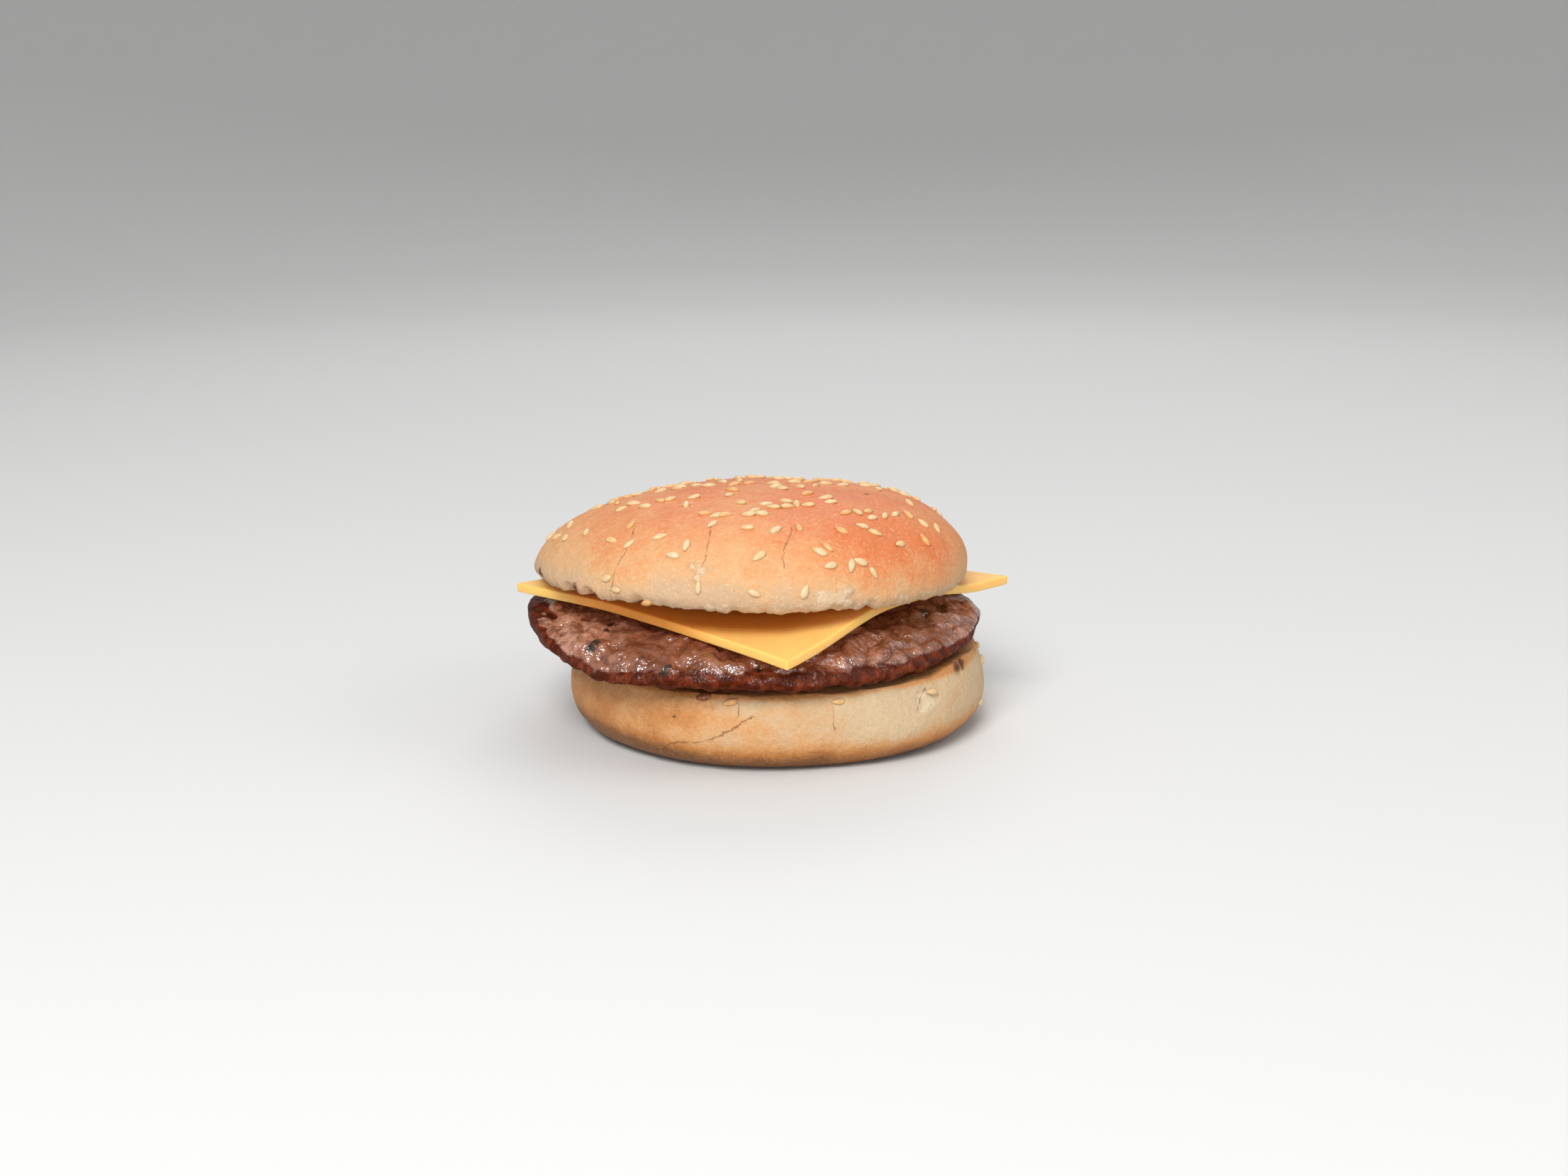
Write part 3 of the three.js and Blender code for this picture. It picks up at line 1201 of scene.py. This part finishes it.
@dataclass
class BeefPatty:
    """The patty, whose two faces meet at a rim of uneven height and reach.

    Attributes:
        cover: The cheese on it.
        clearance: Between the two.
        radius: Its reach.
        centre: Where its middle is.
        bottom: The height of its underside.
        top: The height of its upper face in the middle.
        back_slope: How fast that face falls behind the middle.
        rim: The height where the faces meet.
        top_fullness: How far out the upper face stays flat.
        bottom_fullness: How far out the underside does.
        unevenness: Of its outline.
        tatter: Where its rim is the most ragged.
        rim_lifts: Where its rim is higher or lower.
        pale_and_lit_parts: Where its upper face is paler, partly its own tone and partly a painted highlight.
        pale_and_lit_lumps: How that varies.
        lumps: Of the meat.
        creases: Where the meat is folded.
        strands: Its flattened strands.
        sear_height: How far above the rim it is caramelised.
        sear_lifts: Where that is higher or lower.
        sear_lumps: How that varies.
        steps: How often its outline repeats in the turn.
        half_steps: How many points each face's outline has.
        chars: Where it is charred.
    """

    cover: CheeseSlice
    clearance: float = 0.15
    radius: float = 51.0
    centre: Pair = (-5.3, 0.0)
    bottom: float = 17.6
    top: float = 28.7
    back_slope: float = 0.045
    rim: float = 20.2
    top_fullness: float = 4.5
    bottom_fullness: float = 8.0
    unevenness: float = 0.7
    tatter: Swelling = Swelling(200.0, 26.0, 0.55)
    rim_lifts: tuple[Swelling, ...] = (
        Swelling(182.0, 37.0, 7.0), Swelling(226.0, 18.0, -2.0), Swelling(258.0, 20.0, 0.9),
        Swelling(0.0, 29.0, 3.4), Swelling(236.0, 7.0, -0.7),
    )
    pale_and_lit_parts: tuple[Swelling, ...] = (
        Swelling(208.0, 28.0, 1.0), Swelling(-10.0, 22.0, 0.75), Swelling(-58.0, 16.0, 0.4),
        Swelling(70.0, 40.0, 0.4),
    )
    pale_and_lit_lumps: Lumps = Lumps(9.0, 0.25, 5.5)
    lumps: tuple[Lumps, ...] = (Lumps(9.0, 0.9, 1.3), Lumps(4.2, 1.1, 2.9), Lumps(1.0, 0.10, 9.1))
    creases: Lumps = Lumps(5.5, 1.0, 4.7)
    strands: Lumps = Lumps(1.9, 0.34, 7.7)
    sear_height: float = 4.2
    sear_lifts: tuple[Swelling, ...] = (
        Swelling(275.0, 25.0, 0.8), Swelling(-10.0, 28.0, -3.4), Swelling(194.0, 28.0, -3.0),
    )
    sear_lumps: Lumps = Lumps(8.0, 0.3, 3.3)
    steps: int = 460
    half_steps: int = 76
    chars: tuple[Patch, ...] = (
        Patch(862, 882, 1.7), Patch(856, 889, 1.2), Patch(839, 905, 1.8), Patch(834, 913, 1.4),
        Patch(905, 927, 0.9), Patch(936, 949, 1.6), Patch(942, 940, 1.1), Patch(1071, 945, 1.3),
        Patch(1235, 868, 2.6), Patch(1300, 862, 2.2), Patch(1330, 858, 1.6), Patch(744, 862, 1.2),
    )

    def outline(self) -> list[Pair]:
        """Draw half a section of reach 1 and height -1 to 1.

        Returns:
            The section's points from the underside's middle to the upper face's middle.
        """
        points = []
        for step in range(-self.half_steps, self.half_steps + 1):
            turn = QUARTER * step / self.half_steps
            fullness = self.bottom_fullness if step < 0 else self.top_fullness
            outward = 0.0 if abs(step) == self.half_steps else math.cos(turn) ** (2.0 / fullness)
            points.append((outward, math.sin(turn)))
        return points

    def rim_at(self, bearing: float) -> float:
        """Return the rim's height at a bearing in radians."""
        return self.rim + total(self.rim_lifts, bearing)

    def place(self, point: Vector) -> Vector:
        """Give a point of the turned section its place.

        Args:
            point: A point of the turned section.

        Returns:
            Where it goes.
        """
        outward, bearing = polar(point)
        ragged = 0.3 * ripple(bearing, 6.1, 8, 30) + self.tatter.at(bearing) * ripple(bearing, 1.9, 24, 60)
        radius = outward * (self.radius + self.unevenness * ripple(bearing, 2.1)) + ragged * outward**10
        x, y = radius * math.cos(bearing), radius * math.sin(bearing)
        rim = self.rim_at(bearing)
        top = self.top - self.back_slope * max(0.0, y)
        face = rim - self.bottom if point.z < 0.0 else top - rim
        return Vector((self.centre[0] + x, self.centre[1] + y, rim + point.z * face))

    def push(self, point: Vector) -> float:
        """Work out how far the meat's lumps move a point.

        Args:
            point: A point of the patty.

        Returns:
            The move outwards.
        """
        outward = polar(point, self.centre)[0] / self.radius
        crease = -3.2 * max(0.0, 0.24 - abs(self.creases.at(point)))
        strand = self.strands.at(Vector((point.x, point.y, point.z * 0.6)))
        low = smooth_step(self.bottom - 0.5, self.bottom + 1.5, point.z)
        shown = 0.2 + 0.8 * smooth_step(0.5, 0.8, outward) - 0.62 * smooth_step(0.94, 1.0, outward)
        return shown * (0.3 + 0.7 * low) * (total(self.lumps, point) + crease + strand + 0.15)

    def sear(self, vert: BMVert) -> float:
        """Work out how caramelised the meat is.

        Args:
            vert: A vertex of the patty.

        Returns:
            0 on its faces, 1 along its lower rim.
        """
        bearing = polar(vert.co, self.centre)[1]
        rim = self.rim_at(bearing)
        band = max(0.9, self.sear_height + total(self.sear_lifts, bearing))
        return smooth_step(rim + band, rim + 0.6, vert.co.z) + self.sear_lumps.at(vert.co)

    def paleness_and_highlight(self, vert: BMVert) -> float:
        """Work out how pale the upper face is, partly its own tone and partly a painted highlight.

        Args:
            vert: A vertex of the patty.

        Returns:
            1 where it is palest, and 0 or less in its creases, where the darker colour is painted shade.
        """
        pale = total(self.pale_and_lit_parts, polar(vert.co, self.centre)[1]) + self.pale_and_lit_lumps.at(vert.co)
        # Less of the pale grey in the creases: painted shade in the folds.
        return min(1.0, pale) - 0.7 * smooth_step(0.16, 0.0, abs(self.creases.at(vert.co)))

    def build(self) -> Object:
        """Make the patty.

        Returns:
            The piece.
        """
        bm = turned(self.outline(), self.steps)
        for vert in bm.verts:
            vert.co = self.place(vert.co)
        sculpt(bm, self.push)
        for vert in bm.verts:
            highest = self.cover.height_at(vert.co, -1.0) - self.clearance
            vert.co.z = max(self.bottom, min(vert.co.z, highest))
        bm.normal_update()
        charred = patch_share(self.chars, BVHTree.FromBMesh(bm))
        paint(bm, Mark.SEAR, self.sear)
        # Mark the paler meat with its painted highlight and crease shade.
        paint(bm, Mark.PALE_AND_HIGHLIT, self.paleness_and_highlight)
        paint(bm, Mark.DRY, lambda vert: smooth_step(0.30, -0.10, vert.normal.z))
        paint(bm, Mark.CHAR, lambda vert: charred(vert.co))
        return put_in_place(bm, "seared_patty", MeatFinish().material(), "beef_patty")


@dataclass
class BunCrown(BunHalf):
    """The bun's upper half, a dome that leans to one side.

    Attributes:
        under: The cheese that it lies on.
        clearance: Between the two.
        radius: At its widest.
        height: From the cut to the top.
        belly: From the cut to where it is widest.
        tuck: How far its wall would turn in on its way to the cut.
        wall_turn: How far it does turn, in radians.
        fullness: Of the dome: 2 is an ellipse, and more is boxier.
        centre: Where the cut's middle is.
        tilt_back: In degrees.
        tilt_right: In degrees.
        lean: How far its top stands to the right of its middle.
        slack: Where its shoulder is less full.
        unevenness: Of its outline.
        ragged: Of its lower edge.
        rim_lifts: Where its lower edge is higher or lower.
        notches: Where bites are torn out of that edge.
        teeth: The lumps of that edge.
        lumps: Of the dough.
        pale_rises: Where its pale part reaches higher or lower.
        clouds: Of its browning.
        steps: How often its outline repeats in the turn.
        cuts: How many points its cut, lower wall and dome have.
    """

    under: CheeseSlice
    clearance: float = 0.1
    radius: float = 48.9
    height: float = 21.2
    belly: float = 3.0
    tuck: float = 4.0
    wall_turn: float = math.pi / 3.0
    fullness: float = 2.2
    centre: Place = (-5.9, 0.0, 32.95)
    tilt_back: float = 3.8
    tilt_right: float = 1.3
    lean: float = 6.5
    slack: Swelling = Swelling(188.0, 45.0, 1.6)
    unevenness: float = 0.8
    ragged: float = 0.4
    rim_lifts: tuple[Swelling, ...] = (Swelling(-93.0, 28.0, -1.0), Swelling(-53.0, 24.0, -1.3))
    notches: tuple[Swelling, ...] = (
        Swelling(191.0, 2.2, 0.9), Swelling(198.0, 2.4, 1.1), Swelling(216.0, 2.0, 1.9),
        Swelling(224.5, 1.7, 1.0), Swelling(241.0, 1.7, 0.9), Swelling(291.0, 2.5, 0.5),
        Swelling(302.0, 2.0, 0.6), Swelling(64.0, 2.2, 1.1), Swelling(118.0, 2.0, 0.9),
    )
    teeth: tuple[Lumps, ...] = (Lumps(0.9, 0.35, 3.0), Lumps(7.0 / 3.0, 0.60, 1.0))
    lumps: tuple[Lumps, ...] = (Lumps(17.0, 0.55, 1.0), Lumps(6.0, 0.20, 2.0), Lumps(1.7, 0.07, 5.0))
    pale_rises: tuple[Swelling, ...] = (
        Swelling(-90.0, 38.0, 3.2), Swelling(-22.0, 30.0, -3.6), Swelling(215.0, 40.0, 2.0),
    )
    clouds: tuple[Lumps, ...] = (Lumps(15.0, 0.20, 8.0), Lumps(6.0, 0.14, 9.0))
    steps: int = 520
    cuts: tuple[int, int, int] = (30, 12, 104)
    cracks: tuple[Crack, ...] = (
        Crack(((896, 744), (890, 758), (884, 776), (876, 790), (870, 800), (864, 822), (863, 845))),
        Crack(((1003, 742), (1000, 758), (999, 772), (995, 790), (991, 797))),
        Crack(((1118, 742), (1114, 756), (1107, 772), (1104, 786), (1106, 798))),
    )
    flakes: tuple[Patch, ...] = (
        Patch(1160, 842, 1.7), Patch(1168, 849, 2.0), Patch(1182, 846, 1.9), Patch(1193, 836, 1.5),
        Patch(1157, 854, 1.4), Patch(1196, 850, 1.2), Patch(977, 799, 0.9), Patch(989, 806, 1.2),
        Patch(983, 816, 0.9), Patch(1002, 803, 0.7),
    )
    scorches: tuple[Patch, ...] = (
        Patch(811, 829, 1.1), Patch(838, 842, 0.9), Patch(903, 854, 1.0), Patch(762, 807, 1.3),
        Patch(1223, 697, 0.7), Patch(983, 684, 0.6),
    )
    toasts: tuple[Patch, ...] = (
        Patch(1266, 786, 14.0), Patch(1292, 770, 9.0), Patch(1120, 716, 4.0), Patch(1228, 702, 6.0),
        Patch(985, 690, 4.0),
    )
    flake_height: float = 0.4
    flake_edge: Pair = (0.48, 0.62)

    def outline(self) -> list[Pair]:
        """Draw half a section.

        Returns:
            The section's points from the cut's middle to the top.
        """
        cut, wall, dome = self.cuts
        drop = self.belly / math.sin(self.wall_turn)
        edge = self.radius - self.tuck * (1.0 - math.cos(self.wall_turn))
        points = [(edge * (1.0 - (1.0 - step / cut) ** 1.5), 0.0) for step in range(cut)]
        points += arc((self.radius - self.tuck, self.belly), (self.tuck, drop), -self.wall_turn, 0.0, wall)
        for step in range(dome):
            turn = QUARTER * step / dome
            outward, rise = (part ** (2.0 / self.fullness) for part in (math.cos(turn), math.sin(turn)))
            points.append((self.radius * outward, self.belly + rise * (self.height - self.belly)))
        return points + [(0.0, self.height)]

    def place(self, point: Vector) -> Vector:
        """Make a turned point uneven.

        Args:
            point: A point of the turned section.

        Returns:
            Where it goes, before the crown is tilted.
        """
        radius, bearing = polar(point)
        outward = radius / self.radius
        rise = point.z / self.height
        near_rim = outward**8 * (1.0 - rise) ** 4
        lift = self.ragged * ripple(bearing, 5.3, 6, 18) + total(self.rim_lifts, bearing)
        lip = smooth_step(0.86, 0.92, outward) * smooth_step(3.0, 0.0, point.z)
        bite = total(self.notches, bearing)
        torn = 0.35 * ripple(bearing, 2.7, 20, 90) + total(self.teeth, Vector((bearing * 49.0, 0.0, 0.0)))
        radius += self.unevenness * outward**4 * ripple(bearing, 3.4)
        radius -= self.slack.at(bearing) * math.sin(rise * math.pi) * outward
        radius -= lip * (0.4 * bite + 0.2 * torn)
        x = radius * math.cos(bearing) + self.lean * rise * rise
        return Vector((x, radius * math.sin(bearing), point.z + near_rim * lift + lip * (torn + bite)))

    def browning(self, vert: BMVert) -> float:
        """Work out how brown the crust is.

        Args:
            vert: A vertex of the crown.

        Returns:
            0 where it is palest, 1 where it is brownest.
        """
        point = vert.co
        rise = point.z - self.centre[2] - total(self.pale_rises, polar(point, self.centre)[1])
        baked = 0.52 * smooth_step(0.5, 11.0, rise) + 0.36 * smooth_step(9.0, 20.0, rise)
        return baked + total(self.clouds, point)

    def torn(self, vert: BMVert) -> float:
        """Return how much of the crust is torn off along the lower edge."""
        low = self.centre[2] + 1.2 - vert.co.y * math.sin(math.radians(self.tilt_back))
        return 0.55 * smooth_step(low + 1.2, low - 0.6, vert.co.z)

    def build(self) -> Object:
        """Make the crown.

        Returns:
            The piece.
        """
        bm = turned(self.outline(), self.steps)
        for vert in bm.verts:
            vert.co = self.place(vert.co)
        back = Matrix.Rotation(-math.radians(self.tilt_back), 3, "X")
        aside = Matrix.Rotation(math.radians(self.tilt_right), 3, "Y")
        bmesh.ops.rotate(bm, cent=ORIGIN, matrix=back @ aside, verts=bm.verts[:])
        bmesh.ops.translate(bm, vec=self.centre, verts=bm.verts[:])
        sculpt(bm, lambda point: total(self.lumps, point))
        for vert in bm.verts:
            vert.co.z = max(vert.co.z, self.under.height_at(vert.co, 1.0) + self.clearance)
        self.dress(bm)
        return put_in_place(bm, "domed_crown", CROWN_CRUST.material(), "bun_crown")


@dataclass
class SesameSeeds:
    """The seeds on one half of the bun.

    Attributes:
        name: The piece's name.
        surface: The crust that they lie on.
        marks: The seeds that the photograph shows: column, row, slant in degrees and toast.
        seed: Varies the draw.
        length: A seed's length.
        width: Its width.
        depth: Its thickness.
        lift: How far its middle stands off the crust.
        rings: How many faces it has round it and along it.
        step: How far its slant is followed in the picture, in pixels.
        bm: The mesh of all the seeds.
        taken: Where seeds lie.
        draw: The source of its random numbers.
    """

    name: str
    surface: BVHTree
    marks: Sequence[tuple[int, int, int, float]]
    seed: int
    length: float = 3.15
    width: float = 1.75
    depth: float = 1.2
    lift: float = 0.16
    rings: tuple[int, int] = (9, 7)
    step: float = 4.0
    bm: BMesh = field(default_factory=bmesh.new, init=False)
    taken: list[Vector] = field(default_factory=list, init=False)
    draw: random.Random = field(init=False)

    def __post_init__(self) -> None:
        """Start the draw."""
        self.draw = random.Random(self.seed)

    def lay(self, at: Vector, normal: Vector, heading: Vector, toast: float) -> None:
        """Lay one seed on the crust.

        Args:
            at: Where it lies.
            normal: The crust's normal there.
            heading: Which way its point turns.
            toast: How toasted it is.
        """
        shape = bmesh.new()
        round_it, along_it = self.rings
        bmesh.ops.create_uvsphere(shape, u_segments=round_it, v_segments=along_it, radius=1.0)
        layer = shape.verts.layers.float.new(Mark.TOAST.value)
        size = self.draw.uniform(0.88, 1.08)
        plump = self.draw.uniform(0.85, 1.1)
        for vert in shape.verts:
            along = vert.co.z
            taper = 1.0 - 0.30 * smooth_step(-0.3, 1.0, along)
            vert[layer] = toast + 0.16 * smooth_step(0.6, 1.0, along)
            vert.co = 0.5 * size * Vector((
                self.length * (along + 0.05 * max(0.0, along) ** 3),
                self.width * plump * vert.co.x * taper,
                self.depth * vert.co.y * taper,
            ))
        wobble = Vector((self.draw.uniform(-1, 1), self.draw.uniform(-1, 1), 0.0))
        tilted = (normal + 0.12 * wobble).normalized()
        along = (heading - tilted * heading.dot(tilted)).normalized()
        turn = Matrix((along, tilted.cross(along), tilted)).transposed().to_4x4()
        place = Matrix.Translation(at + normal * self.lift)
        bmesh.ops.transform(shape, matrix=place @ turn, verts=shape.verts[:])
        mesh = bpy.data.meshes.new("seed")
        shape.to_mesh(mesh)
        shape.free()
        self.bm.from_mesh(mesh)
        bpy.data.meshes.remove(mesh)
        self.taken.append(at.copy())

    def along_picture(self, hit: Hit, pixel: Pair, step: Pair) -> Vector:
        """Find the way on the crust that looks like a step in the picture.

        Args:
            hit: A point of the crust and the crust's normal there.
            pixel: The column and row of the pixel that shows it.
            step: A step in pixels, right and down.

        Returns:
            The way along the crust.
        """
        at, slope = hit
        facing = (Vector(VIEW.place) - at).normalized()
        if slope.dot(facing) < 0.12:
            slope = (slope + facing * 0.2).normalized()
        ends = []
        for share in (0.0, 1.0):
            start, way = VIEW.ray(pixel[0] + share * step[0], pixel[1] + share * step[1])
            ends.append(start + way * ((at - start).dot(slope) / way.dot(slope)))
        return ends[1] - ends[0]

    def lay_marked(self) -> None:
        """Lay the seeds that the photograph shows."""
        for across, down, slant, toast in self.marks:
            hit = seen_at(self.surface, across, down)
            if hit is None:
                continue
            lean = math.radians(slant + self.draw.uniform(-7.0, 7.0))
            step = self.step if self.draw.random() < 0.5 else -self.step
            heading = self.along_picture(hit, (across, down), (step * math.cos(lean), -step * math.sin(lean)))
            self.lay(*hit, heading, toast * 0.8 + self.draw.uniform(-0.08, 0.08))

    def scatter(self, count: int, centre: Vector, spread: float, gap: float) -> None:
        """Scatter seeds over the parts of the crust that the photograph doesn't show.

        Args:
            count: How many.
            centre: The dome's middle.
            spread: How far from it they reach.
            gap: The least distance between two.
        """
        laid = 0
        while laid < count:
            bearing = self.draw.uniform(0.0, math.tau)
            reach = spread * self.draw.random() ** 0.62
            above = centre + Vector((reach * math.cos(bearing), reach * math.sin(bearing), 60.0))
            at, normal, _, _ = self.surface.ray_cast(above, -UP)
            turn = self.draw.uniform(0.0, math.tau)
            toast = min(0.8, max(0.05, self.draw.gauss(0.3, 0.2)))
            if at is None or (Vector(VIEW.place) - at).normalized().dot(normal) > 0.10:
                continue
            if min((at - other).length for other in self.taken) < gap:
                continue
            self.lay(at, normal, Vector((math.cos(turn), math.sin(turn), 0.0)), toast)
            laid += 1

    def build(self) -> Object:
        """Join the seeds into one piece."""
        bmesh.ops.recalc_face_normals(self.bm, faces=self.bm.faces[:])
        return put_in_place(self.bm, self.name, SeedFinish().material())


@dataclass(frozen=True)
class Softbox:
    """A soft studio lamp that looks at the burger.

    Attributes:
        name: Its name.
        place: Where it stands, in metres.
        size: Its width and height, in metres.
        power: In watts.
        aim: What it looks at, in metres.
    """

    name: str
    place: Place
    size: Pair
    power: float
    aim: Place = (0.0, 0.0, 0.03)

    def build(self) -> None:
        """Add the lamp to the scene."""
        data = bpy.data.lights.new(self.name, "AREA")
        data.shape = "RECTANGLE"
        data.size, data.size_y = self.size
        data.energy = self.power
        lamp = add_object(self.name, data)
        lamp.location = self.place
        lamp.rotation_euler = (Vector(self.aim) - lamp.location).to_track_quat("-Z", "Y").to_euler()


@dataclass
class Studio:
    """The floor that sweeps up all round, the lamps and the light of the room.

    Attributes:
        flat: The radius of the flat floor, in metres.
        sweep: The radius of its sweep, in metres.
        wall: How high it goes, in metres.
        sweep_cuts: How many points the sweep has.
        steps: How often its outline repeats in the turn.
        slices: How many slices that turn has.
        room: How bright the room is.
        lamps: The lamps.
    """

    flat: float = 1.15
    sweep: float = 1.7
    wall: float = 2.2
    sweep_cuts: int = 12
    steps: int = 96
    slices: int = 12
    room: float = 0.48
    lamps: tuple[Softbox, ...] = (
        Softbox("key", (-0.24, -0.82, 0.80), (0.52, 0.46), 11.4),
        Softbox("front", (0.05, -1.05, 0.24), (0.55, 0.30), 2.3),
        Softbox("overhead", (0.1, 0.15, 1.2), (0.9, 0.9), 1.2),
        Softbox("fill", (0.95, -0.20, 0.65), (0.6, 0.6), 2.2),
        Softbox("back", (0.1, 1.05, 0.95), (0.8, 0.6), 4.2),
    )

    def build(self) -> None:
        """Make the floor, the lamps and the room's light."""
        curve = arc((self.flat, self.sweep), (self.sweep, self.sweep), -QUARTER, 0.0, self.sweep_cuts)
        edge = self.flat + self.sweep
        outline = [(0.0, 0.0), *curve, (edge, self.sweep), (edge, self.wall)]
        bm = turned(outline, self.steps, self.slices)
        smooth_object(bm, "floor", FloorFinish().material())
        for lamp in self.lamps:
            lamp.build()
        world = bpy.data.worlds.new("room")
        world.use_nodes = True
        back = world.node_tree.nodes["Background"]
        back.inputs["Color"].default_value = (1.0, 1.0, 1.0, 1.0)
        back.inputs["Strength"].default_value = self.room
        bpy.context.scene.world = world
        bpy.context.scene.view_settings.view_transform = "Standard"


CROWN_SEED_MARKS = (
    (1099, 665, 0, 0.3), (1073, 674, 5, 0.2), (1061, 671, -5, 0.4), (1110, 670, 0, 0.2),
    (1127, 677, 0, 0.3), (1095, 687, 5, 0.1), (1104, 690, 0, 0.2), (1121, 681, 0, 0.4), (1128, 688, 0, 0.3),
    (1151, 686, 5, 0.7), (1165, 683, 0, 0.5), (1182, 674, 0, 0.3), (1195, 674, 0, 0.4), (1189, 685, 0, 0.3),
    (1219, 677, 0, 0.3), (1233, 676, -10, 0.4), (1221, 686, -5, 0.3), (1239, 691, -20, 0.3),
    (1139, 697, 5, 0.8), (1165, 703, -5, 0.3), (1172, 709, 0, 0.3), (1036, 684, 0, 0.5),
    (1033, 692, 5, 0.8), (1030, 699, 10, 0.2), (1000, 686, 0, 0.2), (968, 683, 5, 0.3), (955, 690, 0, 0.6),
    (979, 702, 10, 0.2), (931, 707, -5, 0.6), (945, 705, 5, 0.6), (968, 713, 80, 0.2), (910, 715, 5, 0.2),
    (894, 711, 15, 0.3), (877, 719, 30, 0.3), (1044, 710, -5, 0.3), (1056, 726, 5, 0.1),
    (1065, 721, 10, 0.2), (1074, 725, 0, 0.3), (1081, 712, 0, 0.2), (1091, 716, 0, 0.3),
    (1109, 708, -10, 0.3), (1111, 715, 0, 0.3), (1124, 712, -60, 0.5), (1140, 713, -5, 0.3),
    (994, 725, 0, 0.8), (1011, 728, 15, 0.3), (1022, 727, 10, 0.7), (1005, 740, 30, 0.1),
    (1054, 745, -5, 0.3), (1095, 748, 20, 0.1), (1127, 745, -60, 0.8), (1193, 724, 5, 0.7),
    (1209, 723, -35, 0.5), (1225, 722, 0, 0.7), (1231, 731, 0, 0.2), (1248, 728, 60, 0.2),
    (1263, 726, 20, 0.2), (1282, 710, -35, 0.4), (1281, 727, -35, 0.6), (1302, 739, -45, 0.4),
    (1321, 746, -60, 0.4), (1304, 762, -50, 0.8), (1317, 716, -60, 0.3), (1291, 703, -30, 0.3),
    (1277, 699, -20, 0.3), (1217, 743, -10, 0.2), (1234, 752, -20, 0.3), (1187, 749, -15, 0.8),
    (1270, 768, 10, 0.3), (1157, 779, -25, 0.2), (1168, 773, -40, 0.7), (1172, 798, 15, 0.2),
    (1201, 798, 80, 0.2), (1214, 793, -25, 0.3), (1232, 808, -50, 0.2), (1071, 785, 35, 0.2),
    (949, 784, -10, 0.1), (968, 770, 70, 0.1), (931, 758, 20, 0.1), (888, 768, 45, 0.2),
    (863, 763, -10, 0.4), (827, 752, 75, 0.3), (890, 742, 35, 0.7), (805, 741, 60, 0.2),
    (798, 759, 80, 0.3), (786, 758, 30, 0.4), (855, 816, 10, 0.3), (869, 832, -15, 0.2),
    (985, 829, 85, 0.1), (1064, 837, -25, 0.1), (1135, 835, 75, 0.1), (912, 852, 20, 0.9),
)
HEEL_SEED_MARKS = (
    (993, 983, 10, 1.2), (1030, 991, 12, 0.8), (1183, 990, 5, 0.7), (1314, 976, 5, 0.4), (1383, 904, 80, 0.3),
    (1384, 930, 80, 0.2), (1382, 990, 50, 0.3),
)
SCATTERED_SEEDS = 78
SCATTER_REACH = 45.0
SCATTER_GAP = 3.5


def main() -> None:
    """Build the burger's pieces from the bottom up, then the studio."""
    logging.basicConfig(level=logging.INFO, format="%(name)s: %(message)s")
    heel = BunHeel()
    cheese = CheeseSlice()
    crown = BunCrown(cheese)
    for part in (heel, BeefPatty(cheese), cheese, crown):
        piece = part.build()
        log.info("%s: %d faces", piece.name, len(piece.data.polygons))
    crown_seeds = SesameSeeds("crown_seeds", crown.surface, CROWN_SEED_MARKS, seed=11)
    crown_seeds.lay_marked()
    crown_seeds.scatter(SCATTERED_SEEDS, Vector(crown.centre), SCATTER_REACH, SCATTER_GAP)
    heel_seeds = SesameSeeds("heel_seeds", heel.surface, HEEL_SEED_MARKS, seed=5)
    heel_seeds.lay_marked()
    for seeds in (crown_seeds, heel_seeds):
        piece = seeds.build()
        log.info("%s: %d seeds", piece.name, len(seeds.taken))
    VIEW.build()
    Studio().build()


if __name__ == "__main__":
    main()
